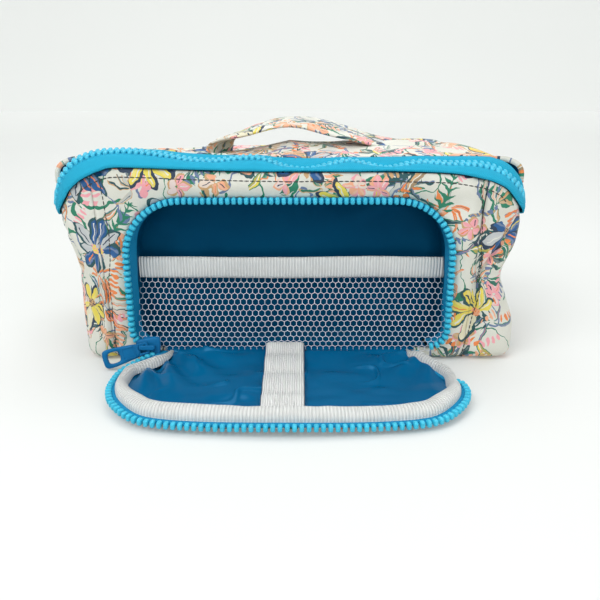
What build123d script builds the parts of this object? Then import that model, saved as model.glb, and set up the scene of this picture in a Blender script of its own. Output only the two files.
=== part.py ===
from build123d import *
from math import atan2, cos, radians, sin, sqrt
import os

os.makedirs("parts", exist_ok=True)

# A soft zip bag for pills and small bottles. Millimetres, X to the right, Y to the back, Z up.
# The origin is the centre of the bag's bottom, on the surface that it stands on.

# Body
HALF_W = 99.5  # half the width at the shoulders
BASE_HALF_W = 96.5  # half the width at the bottom
HALF_D = 43.0
CORNER_R = 16.0  # the plan's corners
SHOULDER_Z = 66.0  # where the sides start to round over into the top
SHOULDER_R = 20.0
CROWN_Z = 89.6  # the top's middle, seen from the front
TOP_Z = 88.8  # the top's highest line, seen from the side
TOP_Y = -4.0
TOP_R = 140.0
BOTTOM_R = 5.0
WALL = 3.0  # print, foam and backing together
LINING = 0.8
SEAM_X = 79.0  # the two upright seams on the front and on the back
GAP = 0.3  # between bodies that move against each other

# Top zip: seen from the side its line drops, turns a quarter circle and runs back along the side
ZIP_Y = -21.0
ZIP_Z = 72.0
ZIP_R = 12.0
ZIP_SLOPE = radians(2.7)
ZIP_END_Y = 27.0
TAPE_EDGE = 9.6  # from the middle of the chain to the far edge of a tape
TAPE_T = 1.0
TEETH_EDGE = 3.4  # from the middle of the chain to the near edge of a tape

# Chain: a moulded-tooth zip with ten teeth to the inch
PITCH = 2.54
TOOTH = 1.3
TOOTH_T = 2.4
TOOTH_REACH = 2.8

# Front opening and its flap
OPEN_HALF_W = 69.0
OPEN_TOP_Z = 71.5
OPEN_LOW_Z = 7.5
OPEN_TOP_R = 24.0
OPEN_LOW_R = 8.0
POCKET_BACK_Y = -29.0
HINGE_Y = -44.1
HINGE_Z = 5.0
FLAP_LONG = 62.0
FLAP_TIP_Z = 2.2  # height of the flap's middle plane at its far edge
FLAP_INSET = 1.5  # the flap's teeth pass this far inside the opening's chain
FLAP_NECK = 55.0  # half the flap's width at the hinge, beside the parked slider

# Handle
STRAP_W = 23.0
STRAP_T = 2.6
STRAP_Y = 2.0
STRAP_ROOT_W = 3.0


def finish(builder, name):
    """Name a finished sub-part and write it."""
    builder.part.label = name
    export_step(builder.part, f"parts/{name}.step")


def front_view(inset):
    """The bag's outline seen from the front, drawn in by inset."""
    right = HALF_W - inset
    base = BASE_HALF_W - inset
    shoulder = on_shoulder(90, inset)
    with BuildSketch(Plane.XZ) as view:
        with BuildLine():
            Polyline((-right, SHOULDER_Z), (-base, inset), (base, inset), (right, SHOULDER_Z))
            ThreePointArc((right, SHOULDER_Z), on_shoulder(45, inset), shoulder)
            ThreePointArc(shoulder, (0, CROWN_Z - inset), (-shoulder[0], shoulder[1]))
            ThreePointArc((-shoulder[0], shoulder[1]), on_shoulder(135, inset), (-right, SHOULDER_Z))
        make_face()
        fillet(view.vertices().group_by(Axis.Y)[0], max(BOTTOM_R - inset, 0.8))
    return view.sketch


def body_form(inset):
    """The closed bag's outer shape, drawn in by inset all round."""
    outline = front_view(inset)
    with BuildPart() as form:
        with BuildSketch(Plane.XY):
            RectangleRounded(2 * (HALF_W - inset), 2 * (HALF_D - inset), CORNER_R - inset)
        extrude(amount=CROWN_Z + 10)
        extrude(to_extrude=outline.face(), amount=HALF_D + 5, both=True, mode=Mode.INTERSECT)
        with BuildSketch(Plane.YZ) as side_view:
            with Locations((0, CROWN_Z + inset)):
                Rectangle(2 * (HALF_D - inset), 2 * CROWN_Z)
            with Locations((TOP_Y, TOP_Z - TOP_R)):
                Circle(TOP_R - inset, mode=Mode.INTERSECT)
            fillet(side_view.vertices().group_by(Axis.Y)[0], max(BOTTOM_R - inset, 0.8))
        extrude(amount=HALF_W + 5, both=True, mode=Mode.INTERSECT)
    return form.part


def on_shoulder(degrees, inset):
    """A point on the round shoulder, seen from the front; 90 degrees is straight up, past it on the left."""
    side = 1 if degrees <= 90 else -1
    reach = SHOULDER_R - inset
    angle = radians(degrees)
    return (side * (HALF_W - SHOULDER_R) + reach * cos(angle), SHOULDER_Z + reach * sin(angle))


def lid_side(shift):
    """Everything on the lid's side of the zip line, when that line is moved towards the lid by shift."""
    reach = ZIP_R - shift
    turn = [radians(180), radians(225), radians(270) - ZIP_SLOPE]
    points = [(ZIP_Y + reach * cos(a), ZIP_Z + reach * sin(a)) for a in turn]
    run = HALF_D + 20 - points[2][0]
    far = (HALF_D + 20, points[2][1] - run * sin(ZIP_SLOPE) / cos(ZIP_SLOPE))
    with BuildPart() as region:
        with BuildSketch(Plane.YZ):
            with BuildLine():
                ThreePointArc(*points)
                Polyline(points[2], far, (far[0], 120), (points[0][0], 120), points[0])
            make_face()
        extrude(amount=HALF_W + 10, both=True)
    return region.part


def panel_side(shift, seam_shift):
    """The lid's side of a panel edge: along the zip it stands off by shift, behind it by seam_shift."""
    with BuildPart() as rest:
        add(lid_side(seam_shift))
        add(behind_zip.part, mode=Mode.INTERSECT)
    with BuildPart() as region:
        add(lid_side(shift))
        add(behind_zip.part, mode=Mode.SUBTRACT)
        add(rest.part)
        add(front_core.part, mode=Mode.SUBTRACT)
    return region.part


def opening_outline(inset, low_z):
    """The front opening's outline in front view, drawn in by inset."""
    with BuildSketch(Plane.XZ) as outline:
        with Locations((0, (OPEN_TOP_Z + low_z) / 2)):
            Rectangle(2 * OPEN_HALF_W, OPEN_TOP_Z - low_z)
        fillet(outline.vertices().group_by(Axis.Y)[-1], OPEN_TOP_R)
        fillet(outline.vertices().group_by(Axis.Y)[0], OPEN_LOW_R)
        if inset:
            offset(amount=-inset)
    return outline.sketch


with BuildPart() as behind_zip:
    with Locations((0, ZIP_END_Y + 100, 60)):
        Box(400, 200, 200)
with BuildPart() as front_core:
    extrude(to_extrude=front_view(WALL).face(), amount=HALF_D + 1)
    with Locations((0, 0, 60)):
        Box(400, 2 * (HALF_D - WALL), 200, mode=Mode.SUBTRACT)
OUTER = body_form(0)
INNER = body_form(WALL)
TAPE_INNER = body_form(TAPE_T)
ABOVE_BODY = panel_side(-TAPE_EDGE, -GAP)
ABOVE_LID = panel_side(TAPE_EDGE, GAP)
OPENING = opening_outline(-1.4, HINGE_Z + 1.6)


def walls(name, low, high, cut_opening=False):
    """A padded wall: the part of the body's shell between two corners and below the zip."""
    size = [high[i] - low[i] for i in range(3)]
    centre = [(high[i] + low[i]) / 2 for i in range(3)]
    with BuildPart(Location(centre), mode=Mode.PRIVATE) as window:
        Box(*size)
    with BuildPart() as wall:
        add(OUTER)
        add(INNER, mode=Mode.SUBTRACT)
        add(window.part, mode=Mode.INTERSECT)
        add(ABOVE_BODY, mode=Mode.SUBTRACT)
        if cut_opening:
            extrude(to_extrude=OPENING.face(), amount=HALF_D + 10, mode=Mode.SUBTRACT)
    finish(wall, name)


# ---- The bag: padded walls, sewn edge to edge
walls("front_panel", (-SEAM_X, -HALF_D - 1, WALL), (SEAM_X, -HALF_D + WALL + 0.01, 100), cut_opening=True)
walls("back_panel", (-SEAM_X, HALF_D - WALL - 0.01, WALL), (SEAM_X, HALF_D + 1, 100))
walls("side_panel_right", (SEAM_X, -HALF_D - 1, WALL), (HALF_W + 1, HALF_D + 1, 100))
walls("side_panel_left", (-HALF_W - 1, -HALF_D - 1, WALL), (-SEAM_X, HALF_D + 1, 100))
walls("bottom_panel", (-HALF_W - 1, -HALF_D - 1, -1), (HALF_W + 1, HALF_D + 1, WALL))

with BuildPart() as base_board:
    with BuildSketch(Plane.XY.offset(WALL)):
        RectangleRounded(2 * (BASE_HALF_W - 6), 2 * (HALF_D - 5.5), CORNER_R - 5)
    extrude(amount=1.2)
finish(base_board, "base_board")

# ---- The lining of the main compartment
LINING_TOP = 47.0
with BuildPart() as main_lining:
    with BuildSketch(Plane.XY.offset(WALL + 1.4)):
        with Locations((0, 6.4)):
            RectangleRounded(2 * (BASE_HALF_W - WALL - 0.5), 2 * (HALF_D - WALL - 0.3) - 12.8, CORNER_R - 4)
    extrude(amount=LINING_TOP - WALL - 1.4)
    offset(amount=-LINING, openings=main_lining.faces().sort_by(Axis.Z)[-1])
finish(main_lining, "main_lining")

# The front compartment: its back wall divides the bag, its ceiling closes it under the top zip
with BuildPart() as front_pocket_lining:
    with BuildSketch(Plane.XZ.offset(-POCKET_BACK_Y)):
        add(opening_outline(1.4, OPEN_LOW_Z))
    extrude(amount=-1.2)
finish(front_pocket_lining, "front_pocket_lining")

with BuildPart() as bottle_band:
    with BuildSketch(Plane.XZ.offset(-(HALF_D - WALL - 3.2))):
        with Locations((0, 30)):
            Rectangle(150, 25)
    extrude(amount=-0.9)
finish(bottle_band, "bottle_band")

# ---- Front zip, the bag's half: its tape is the wall of the front compartment
with BuildPart() as front_zip_tape:
    with BuildSketch(Plane.XZ.offset(-POCKET_BACK_Y + 0.2)):
        add(opening_outline(0.2, OPEN_LOW_Z))
        add(opening_outline(1.2, OPEN_LOW_Z), mode=Mode.SUBTRACT)
    extrude(amount=HALF_D + 0.2 + POCKET_BACK_Y)
    with Locations((0, -HALF_D, HINGE_Z)):  # room for the closed flap's roll over the compartment's floor
        Box(2 * OPEN_HALF_W - 12, 5.4, 9.6, mode=Mode.SUBTRACT)
finish(front_zip_tape, "front_zip_tape")

SLIDER_PARK_X = -61.0
with BuildLine(Plane.XZ) as front_path:
    left_turn = (-OPEN_HALF_W, OPEN_LOW_Z + OPEN_LOW_R)
    Line(left_turn, (-OPEN_HALF_W, OPEN_TOP_Z - OPEN_TOP_R))
    RadiusArc((-OPEN_HALF_W, OPEN_TOP_Z - OPEN_TOP_R), (-OPEN_HALF_W + OPEN_TOP_R, OPEN_TOP_Z), OPEN_TOP_R)
    Line((-OPEN_HALF_W + OPEN_TOP_R, OPEN_TOP_Z), (OPEN_HALF_W - OPEN_TOP_R, OPEN_TOP_Z))
    RadiusArc((OPEN_HALF_W - OPEN_TOP_R, OPEN_TOP_Z), (OPEN_HALF_W, OPEN_TOP_Z - OPEN_TOP_R), OPEN_TOP_R)
    Line((OPEN_HALF_W, OPEN_TOP_Z - OPEN_TOP_R), (OPEN_HALF_W, OPEN_LOW_Z + OPEN_LOW_R))


def along(path, plane_y, start, end):
    """Planes spaced one pitch apart on a front-view path: X along it, Z to the front."""
    wire = path.wire()
    count = int((wire.length - start - end) / PITCH)
    planes = []
    for i in range(count + 1):
        place = (start + i * PITCH) / wire.length
        point = wire.position_at(place)
        tangent = wire.tangent_at(place)
        planes.append(Plane(Vector(point.X, plane_y, point.Z), x_dir=tangent, z_dir=(0, -1, 0)))
    return planes


with BuildPart() as front_zip_teeth:
    with Locations(*along(front_path, -HALF_D - 0.5 - TOOTH_REACH / 2, 2, 1)):
        Box(TOOTH, TOOTH_T, TOOTH_REACH)
finish(front_zip_teeth, "front_zip_teeth")

# ---- Mesh pocket in the front compartment
MESH_TOP_Z = 45.4
MESH_LOW_Z = 9.5
MESH_BINDING = 9.5
MESH_FRONT_Y = -36.5
MESH_HALF_W = OPEN_HALF_W - 2.0
with BuildPart() as mesh_pocket:
    with BuildSketch(Plane.YZ):
        with BuildLine():
            Polyline((MESH_FRONT_Y, MESH_LOW_Z), (-35.0, MESH_TOP_Z - MESH_BINDING))
            Polyline((-35.0, MESH_TOP_Z - MESH_BINDING), (-34.2, MESH_TOP_Z - MESH_BINDING))
            Polyline((-34.2, MESH_TOP_Z - MESH_BINDING), (MESH_FRONT_Y + 0.8, MESH_LOW_Z))
            Polyline((MESH_FRONT_Y + 0.8, MESH_LOW_Z), (MESH_FRONT_Y, MESH_LOW_Z))
        make_face()
    extrude(amount=MESH_HALF_W, both=True)
    extrude(to_extrude=opening_outline(1.6, OPEN_LOW_Z).face(), amount=HALF_D, mode=Mode.INTERSECT)
finish(mesh_pocket, "mesh_pocket")

with BuildPart() as mesh_binding:
    with BuildSketch(Plane.YZ):
        with Locations((-34.6, MESH_TOP_Z - MESH_BINDING / 2)):
            Rectangle(1.6, MESH_BINDING)
    extrude(amount=MESH_HALF_W, both=True)
finish(mesh_binding, "mesh_binding")

# ---- Flap: lies open on the table, its middle plane falling from the hinge to its far edge
FLAP_FALL = atan2(HINGE_Z - FLAP_TIP_Z, FLAP_LONG)
FLAP_DIR = Vector(0, -cos(FLAP_FALL), -sin(FLAP_FALL))
FLAP_UP = Vector(0, -sin(FLAP_FALL), cos(FLAP_FALL))


def flap_plane(height):
    """The flap's plane at a height above its middle: X to the left, Y away from the hinge."""
    return Plane(Vector(0, HINGE_Y, HINGE_Z) + FLAP_UP * height, x_dir=(-1, 0, 0), z_dir=FLAP_UP)


def flap_outline(inset, near):
    """The flap's outline, drawn in by inset on three sides and starting near from the hinge."""
    half = OPEN_HALF_W - FLAP_INSET - inset
    neck = FLAP_NECK - inset
    far = FLAP_LONG + 2.0 - inset
    corner = OPEN_TOP_R - FLAP_INSET - inset
    with BuildSketch() as outline:
        with BuildLine():
            Polyline((neck, near), (neck, 9), (half, 22), (half, far - corner))
            RadiusArc((half, far - corner), (half - corner, far), -corner)
            Line((half - corner, far), (corner - half, far))
            RadiusArc((corner - half, far), (-half, far - corner), -corner)
            Polyline((-half, far - corner), (-half, 22), (-neck, 9), (-neck, near), (neck, near))
        make_face()
    return outline.sketch


def flap_layer(name, low, high, inset, near, inner_inset=None):
    """A layer of the flap between two heights; inner_inset leaves only a band along the three free sides."""
    with BuildPart() as layer:
        with BuildSketch(flap_plane(low)):
            add(flap_outline(inset, near))
            if inner_inset is not None:
                add(flap_outline(inner_inset, -2), mode=Mode.SUBTRACT)
        extrude(amount=high - low)
    finish(layer, name)


flap_layer("flap_outer", -1.6, -0.6, 7.0, 0.6)
flap_layer("flap_padding", -0.5, 0.5, 7.5, 0.6)
flap_layer("flap_lining", 0.6, 1.1, 7.0, 0.6)
flap_layer("flap_zip_tape", -0.4, 0.4, 3.0, 3.0, 6.9)
flap_layer("flap_binding", 1.2, 3.2, 4.0, 3.0, 15.0)

with BuildSketch() as flap_rim:
    add(flap_outline(TOOTH_REACH / 2 + 0.1, 0))
rim = flap_rim.sketch.face().outer_wire()
with BuildPart() as flap_zip_teeth:
    flap_teeth = []
    tooth_count = int(rim.length / PITCH)
    for i in range(tooth_count):
        spot = rim.position_at(i / tooth_count)
        heading = rim.tangent_at(i / tooth_count)
        if spot.Y > 23:
            base = flap_plane(0)
            flap_teeth.append(Plane(base.from_local_coords(spot), x_dir=base.from_local_coords(heading)
                                    - base.from_local_coords(Vector(0, 0, 0)), z_dir=FLAP_UP))
    with Locations(*flap_teeth):
        Box(TOOTH, TOOTH_REACH, TOOTH_T)
finish(flap_zip_teeth, "flap_zip_teeth")

# An elastic strip sewn across at three places makes two bottle loops on the flap's lining
with BuildPart() as flap_elastic:
    with BuildSketch(flap_plane(1.2)):
        with Locations((2, 26)):
            Rectangle(16, 42)
    extrude(amount=1.2)
finish(flap_elastic, "flap_elastic")

# ---- Top zip
def top_band(name, near, far):
    """A strip of the shell's outer skin between two distances from the top zip's middle line."""
    with BuildPart() as strip:
        add(OUTER)
        add(TAPE_INNER, mode=Mode.SUBTRACT)
        add(lid_side(near), mode=Mode.INTERSECT)
        add(lid_side(far), mode=Mode.SUBTRACT)
        add(behind_zip.part, mode=Mode.SUBTRACT)
        add(front_core.part, mode=Mode.SUBTRACT)
    finish(strip, name)


top_band("top_zip_tape", -TAPE_EDGE, -TEETH_EDGE)
top_band("lid_zip_tape", TEETH_EDGE, TAPE_EDGE)


def plan_half_width(y):
    """Half the body's width at a depth, rounded at the plan's corners."""
    past = abs(y) - (HALF_D - CORNER_R)
    return HALF_W if past <= 0 else HALF_W - CORNER_R + sqrt(CORNER_R ** 2 - past ** 2)


def side_half_width(z):
    """Half the body's width at a height, seen from the front."""
    if z <= SHOULDER_Z:
        return BASE_HALF_W + (HALF_W - BASE_HALF_W) * z / SHOULDER_Z
    return HALF_W - SHOULDER_R + sqrt(max(0, SHOULDER_R ** 2 - (z - SHOULDER_Z) ** 2))


def top_path():
    """Points and outward normals along the right half of the top zip, from the middle of the front."""
    front_y = ZIP_Y - ZIP_R
    top_z = TOP_Z - TOP_R + sqrt(TOP_R ** 2 - (front_y - TOP_Y) ** 2)
    up = Vector(0, (front_y - TOP_Y) / TOP_R, 1).normalized()
    flat_x = side_half_width(top_z)
    points = [(Vector(flat_x * i / 160, front_y, top_z), up) for i in range(161)]
    z = top_z
    while z > ZIP_Z:
        x = min(side_half_width(z), plan_half_width(front_y))
        normal = Vector(x - HALF_W + SHOULDER_R, 0, z - SHOULDER_Z).normalized()
        points.append((Vector(x, front_y, z), normal))
        z -= 0.25
    steps = 40
    for i in range(steps + 1):
        angle = radians(180) + (radians(90) - ZIP_SLOPE) * i / steps
        y = ZIP_Y + ZIP_R * cos(angle)
        z = ZIP_Z + ZIP_R * sin(angle)
        points.append((Vector(min(side_half_width(z), plan_half_width(y)), y, z), Vector(1, 0, 0)))
    start = points[-1][0]
    while y < ZIP_END_Y - 1.8:
        y += 0.5
        z = start.Z - (y - start.Y) * sin(ZIP_SLOPE) / cos(ZIP_SLOPE)
        points.append((Vector(side_half_width(z), y, z), Vector(1, 0, 0)))
    return points


def tooth_planes(points, side):
    """Planes one pitch apart along the top zip, each beside its middle line."""
    planes = []
    travelled = 0.0
    wanted = PITCH / 2
    for (a, _), (b, normal) in zip(points, points[1:]):
        step = (b - a).length
        while step > 0.01 and travelled + step >= wanted:
            heading = (b - a).normalized()
            across = normal.cross(heading).normalized()
            spot = a + heading * (wanted - travelled) + across * side * (TOOTH_REACH / 2 + 0.15)
            planes.append(Plane(spot - normal * TAPE_T / 2, x_dir=heading, z_dir=heading.cross(across)))
            wanted += PITCH
        travelled += step
    return planes


for teeth_name, teeth_side in (("top_zip_teeth", -1), ("lid_zip_teeth", 1)):
    with BuildPart() as teeth:
        with Locations(*tooth_planes(top_path(), teeth_side)):
            Box(TOOTH, TOOTH_REACH, TOOTH_T)
        mirror(about=Plane.YZ)
    finish(teeth, teeth_name)

# ---- Lid
with BuildPart() as lid_panel:
    add(OUTER)
    add(INNER, mode=Mode.SUBTRACT)
    add(ABOVE_LID, mode=Mode.INTERSECT)
finish(lid_panel, "lid_panel")

LID_LINING_OUTER = body_form(WALL + 0.1)
LID_LINING_INNER = body_form(WALL + 0.1 + LINING)
with BuildPart() as lid_lining:
    add(LID_LINING_OUTER)
    add(LID_LINING_INNER, mode=Mode.SUBTRACT)
    add(ABOVE_LID, mode=Mode.INTERSECT)
finish(lid_lining, "lid_lining")

# ---- Handle: a printed strap sewn to the lid at both ends, narrow where it is sewn
STRAP_PATH = [(-33, 89.9), (-33, 93), (-22, 96), (-12, 98.4), (-2, 99.8), (8, 99.6), (20, 97.6), (34, 93.6),
              (46, 90.9), (71, 89.2)]
with BuildPart() as handle_strap:
    with BuildSketch(Plane.XZ.offset(-STRAP_Y)):
        with BuildLine():
            strap_line = Polyline(*STRAP_PATH)
        trace(strap_line, STRAP_T)
    extrude(amount=STRAP_W / 2, both=True)
    with BuildSketch(Plane.XZ.offset(-STRAP_Y)):
        with Locations((20, 86)):
            Rectangle(140, 19.6)
    extrude(amount=STRAP_W, both=True, mode=Mode.SUBTRACT)
    with BuildSketch(Plane.XZ.offset(-STRAP_Y)):
        with BuildLine():
            root_line = Polyline(*STRAP_PATH)
        trace(root_line, STRAP_T)
    extrude(amount=STRAP_ROOT_W / 2, both=True)
finish(handle_strap, "handle_strap")


# ---- Sliders: local X along the zip, Z outwards from the chain's middle
EYE_Z = 4.85  # height of the hole for the pull's bar


def slider(place, name):
    """A moulded slider body: outer plate, two flanges beside the teeth and the bridge for the pull."""
    with BuildPart(place) as body:
        with BuildSketch(place.offset(2.8)):
            with BuildLine():
                Polyline((-5, -3.4), (-5, 3.4), (-1.5, 4.5), (5, 4.5), (5, -4.5), (-1.5, -4.5), (-5, -3.4))
            make_face()
        extrude(amount=1.0)
        with Locations((1.75, 3.95, 2.4), (1.75, -3.95, 2.4)):
            Box(6.5, 1.1, 0.8)
        with Locations((0, 0, 4.9)):
            Box(6.0, 1.8, 2.8)
        with Locations((0, 0, EYE_Z)):
            Box(2.6, 3, 1.5, mode=Mode.SUBTRACT)
    finish(body, name)


def pull(place, name):
    """A pull tab: a bar through the slider's bridge, two arms and a flat tab with a window."""
    with BuildPart(place) as tab:
        with BuildSketch(place.offset(-0.75)):
            with BuildLine():
                Polyline((4, -2.9), (13, -4.0), (18, -4.0), (19, -3), (19, 3), (18, 4.0), (13, 4.0), (4, 2.9),
                         (4, -2.9))
            make_face()
            with Locations((14.6, 0)):
                RectangleRounded(5.4, 4.6, 1.2, mode=Mode.SUBTRACT)
        extrude(amount=1.5)
        with Locations((2.2, 2.2, 0), (2.2, -2.2, 0)):
            Box(5.3, 0.9, 0.9)
        with Locations((0, 0, 0)):
            Box(0.9, 5.3, 0.9)
    finish(tab, name)


FRONT_OUT = Vector(0, -0.95, 0.3122).normalized()
FRONT_PARK = Vector(SLIDER_PARK_X, -HALF_D - 1.85, OPEN_LOW_Z)
slider(Plane(FRONT_PARK, x_dir=(1, 0, 0), z_dir=FRONT_OUT), "front_slider")
PULL_ALONG = Vector(-0.955, -0.15, -0.25).normalized()
PULL_UP = (FRONT_OUT - PULL_ALONG * FRONT_OUT.dot(PULL_ALONG)).normalized()
FRONT_EYE = FRONT_PARK + FRONT_OUT * EYE_Z
pull(Plane(FRONT_EYE, x_dir=PULL_ALONG, z_dir=PULL_UP), "front_pull")

TOP_END = top_path()[-1][0]
TOP_PARK = Vector(HALF_W - 0.5, TOP_END.Y - 4, TOP_END.Z + 4 * sin(ZIP_SLOPE))
TOP_RUN = Vector(0, -cos(ZIP_SLOPE), sin(ZIP_SLOPE))
slider(Plane(TOP_PARK, x_dir=TOP_RUN, z_dir=(1, 0, 0)), "top_slider")
pull(Plane(TOP_PARK + Vector(EYE_Z, 0, 0), x_dir=-TOP_RUN, z_dir=(1, 0, 0)), "top_pull")
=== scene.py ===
from math import atan2, cos, pi, radians, sin, sqrt

import bmesh
import bpy
import numpy as np
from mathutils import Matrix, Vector
from mathutils.bvhtree import BVHTree


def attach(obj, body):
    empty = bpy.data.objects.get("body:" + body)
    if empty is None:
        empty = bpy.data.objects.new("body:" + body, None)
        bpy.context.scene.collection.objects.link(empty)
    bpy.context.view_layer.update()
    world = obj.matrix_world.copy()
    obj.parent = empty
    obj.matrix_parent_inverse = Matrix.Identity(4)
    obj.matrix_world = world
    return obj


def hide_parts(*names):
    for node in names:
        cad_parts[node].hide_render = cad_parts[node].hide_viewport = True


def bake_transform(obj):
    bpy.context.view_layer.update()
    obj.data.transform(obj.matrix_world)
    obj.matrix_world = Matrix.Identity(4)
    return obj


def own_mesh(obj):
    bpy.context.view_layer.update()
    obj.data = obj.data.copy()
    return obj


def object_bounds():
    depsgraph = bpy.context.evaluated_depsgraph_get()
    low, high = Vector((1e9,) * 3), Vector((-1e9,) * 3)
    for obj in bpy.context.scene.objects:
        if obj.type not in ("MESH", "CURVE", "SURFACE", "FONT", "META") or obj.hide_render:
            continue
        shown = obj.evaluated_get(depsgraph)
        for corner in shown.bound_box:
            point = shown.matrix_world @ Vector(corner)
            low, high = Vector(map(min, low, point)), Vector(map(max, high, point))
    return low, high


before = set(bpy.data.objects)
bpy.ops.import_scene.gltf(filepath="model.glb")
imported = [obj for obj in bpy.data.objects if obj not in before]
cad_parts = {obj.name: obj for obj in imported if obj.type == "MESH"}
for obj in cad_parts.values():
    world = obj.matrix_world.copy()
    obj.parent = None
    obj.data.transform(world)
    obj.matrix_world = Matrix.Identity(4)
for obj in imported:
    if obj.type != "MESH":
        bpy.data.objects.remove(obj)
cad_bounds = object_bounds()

# Lengths in this script are millimetres, in the frame's axes; Skin.piece() turns them into metres.
MM = 0.001

# --------------------------------------------------------------------------------------------------
# Camera, lights and floor


def lowest_z():
    return cad_bounds[0][2]


camera = bpy.data.cameras.new("camera")
camera.lens = 41.1
camera.sensor_width = 36.0
camera_object = bpy.data.objects.new("camera", camera)
camera_object.location = (4.5 * MM, -320.5 * MM, 124.5 * MM)
camera_object.rotation_euler = (radians(90 - 19.1), 0, 0)
bpy.context.scene.collection.objects.link(camera_object)
bpy.context.scene.camera = camera_object
bpy.context.scene.view_settings.view_transform = "Standard"


def area_light(name, place, aim, size, power):
    light = bpy.data.lights.new(name, "AREA")
    light.shape = "DISK"
    light.size = size
    light.energy = power
    lamp = bpy.data.objects.new(name, light)
    lamp.location = place
    direction = Vector(aim) - Vector(place)
    lamp.rotation_euler = direction.to_track_quat("-Z", "Y").to_euler()
    bpy.context.scene.collection.objects.link(lamp)


area_light("key", (-0.45, -0.55, 0.85), (0, 0, 0.04), 0.7, 6.0)
area_light("fill", (0.65, -0.65, 0.55), (0, 0, 0.04), 0.9, 2.8)
area_light("top", (0.05, 0.25, 0.95), (0, 0, 0.05), 0.8, 3.8)

world = bpy.data.worlds.new("studio")
world.use_nodes = True
world.node_tree.nodes["Background"].inputs["Color"].default_value = (0.98, 1.0, 0.985, 1)
world.node_tree.nodes["Background"].inputs["Strength"].default_value = 0.54
bpy.context.scene.world = world

# --------------------------------------------------------------------------------------------------
# Materials


class Formula:
    """A number in a node tree; arithmetic on it adds Math nodes."""

    def __init__(self, tree, socket):
        self.tree = tree
        self.socket = socket

    def op(self, operation, *others, clamp=False):
        node = self.tree.nodes.new("ShaderNodeMath")
        node.operation = operation
        node.use_clamp = clamp
        for i, value in enumerate((self,) + others):
            if isinstance(value, Formula):
                self.tree.links.new(value.socket, node.inputs[i])
            else:
                node.inputs[i].default_value = value
        return Formula(self.tree, node.outputs[0])

    def __add__(self, other):
        return self.op("ADD", other)

    def __sub__(self, other):
        return self.op("SUBTRACT", other)

    def __mul__(self, other):
        return self.op("MULTIPLY", other)

    def __truediv__(self, other):
        return self.op("DIVIDE", other)

    def __lt__(self, other):
        return self.op("LESS_THAN", other)

    def __gt__(self, other):
        return self.op("GREATER_THAN", other)

    def sin(self):
        return self.op("SINE")

    def cos(self):
        return self.op("COSINE")

    def abs(self):
        return self.op("ABSOLUTE")

    def soft(self, low, high, start=0.0, end=1.0):
        """Rises smoothly from start to end between low and high."""
        node = self.tree.nodes.new("ShaderNodeMapRange")
        node.interpolation_type = "SMOOTHSTEP"
        self.tree.links.new(self.socket, node.inputs["Value"])
        for name, value in (("From Min", low), ("From Max", high), ("To Min", start), ("To Max", end)):
            node.inputs[name].default_value = value
        return Formula(self.tree, node.outputs["Result"])


class Paint:
    """A material under construction: its node tree, its shader and helpers to reach them."""

    def __init__(self, name, **shader):
        self.material = bpy.data.materials.new(name)
        self.material.use_nodes = True
        self.tree = self.material.node_tree
        self.shader = self.tree.nodes["Principled BSDF"]
        for key, value in shader.items():
            self.shader.inputs[key.replace("_", " ")].default_value = value

    def node(self, kind, links=(), **values):
        made = self.tree.nodes.new(kind)
        for key, value in values.items():
            setattr(made, key, value)
        for key, value in dict(links).items():
            if isinstance(value, Formula):
                value = value.socket
            if hasattr(value, "is_linked"):
                self.tree.links.new(value, made.inputs[key])
            else:
                made.inputs[key].default_value = value
        return made

    def number(self, socket):
        return Formula(self.tree, socket)

    def split(self, vector):
        node = self.node("ShaderNodeSeparateXYZ", {0: vector})
        return self.number(node.outputs[0]), self.number(node.outputs[1]), self.number(node.outputs[2])

    def join(self, x, y, z=0.0):
        return self.node("ShaderNodeCombineXYZ", {0: x, 1: y, 2: z}).outputs[0]

    def noise(self, vector, scale, detail=2.0, rough=0.5, distortion=0.0):
        node = self.node("ShaderNodeTexNoise", {"Vector": vector, "Scale": scale, "Detail": detail,
                                                "Roughness": rough, "Distortion": distortion})
        return self.number(node.outputs[0])

    def ramp(self, value, stops, constant=False):
        node = self.node("ShaderNodeValToRGB", {0: value})
        node.color_ramp.interpolation = "CONSTANT" if constant else "LINEAR"
        points = node.color_ramp.elements
        while len(points) < len(stops):
            points.new(0.5)
        for point, (place, color) in zip(points, stops):
            point.position = place
            point.color = (*color, 1)
        return node.outputs[0]

    def mix(self, factor, a, b, blend="MIX"):
        node = self.node("ShaderNodeMix", data_type="RGBA", blend_type=blend)
        for i, value in ((0, factor), (6, a), (7, b)):
            if isinstance(value, Formula):
                value = value.socket
            if hasattr(value, "is_linked"):
                self.tree.links.new(value, node.inputs[i])
            elif isinstance(value, tuple):
                node.inputs[i].default_value = (*value, 1)
            else:
                node.inputs[i].default_value = value
        return node.outputs[2]

    def bump(self, height, strength, distance=0.0002, below=None):
        node = self.node("ShaderNodeBump", {"Height": height, "Strength": strength, "Distance": distance})
        if below is not None:
            self.tree.links.new(below.outputs[0], node.inputs["Normal"])
        return node

    def finish(self, color, normal=None):
        self.tree.links.new(color, self.shader.inputs["Base Color"])
        if normal is not None:
            self.tree.links.new(normal.outputs[0], self.shader.inputs["Normal"])
        return self.material

    def uv(self):
        """The piece's flat pattern coordinates, in millimetres."""
        return self.node("ShaderNodeUVMap", uv_map="flat").outputs[0]

    def place(self):
        """The place in the object, in millimetres."""
        source = self.node("ShaderNodeTexCoord").outputs["Object"]
        scaled = self.node("ShaderNodeVectorMath", {0: source, 1: (1000, 1000, 1000)}, operation="MULTIPLY")
        return scaled.outputs[0]


def weave(paint, uv, pitch, strength, below=None):
    """A plain weave's bump: two crossed sets of threads at that pitch."""
    u, v, _ = paint.split(uv)
    warp = (u * (2 * pi / pitch)).sin()
    weft = (v * (2 * pi / pitch)).sin()
    return paint.bump(warp * weft * 0.5 + 0.5, strength, 0.0001, below)


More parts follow.
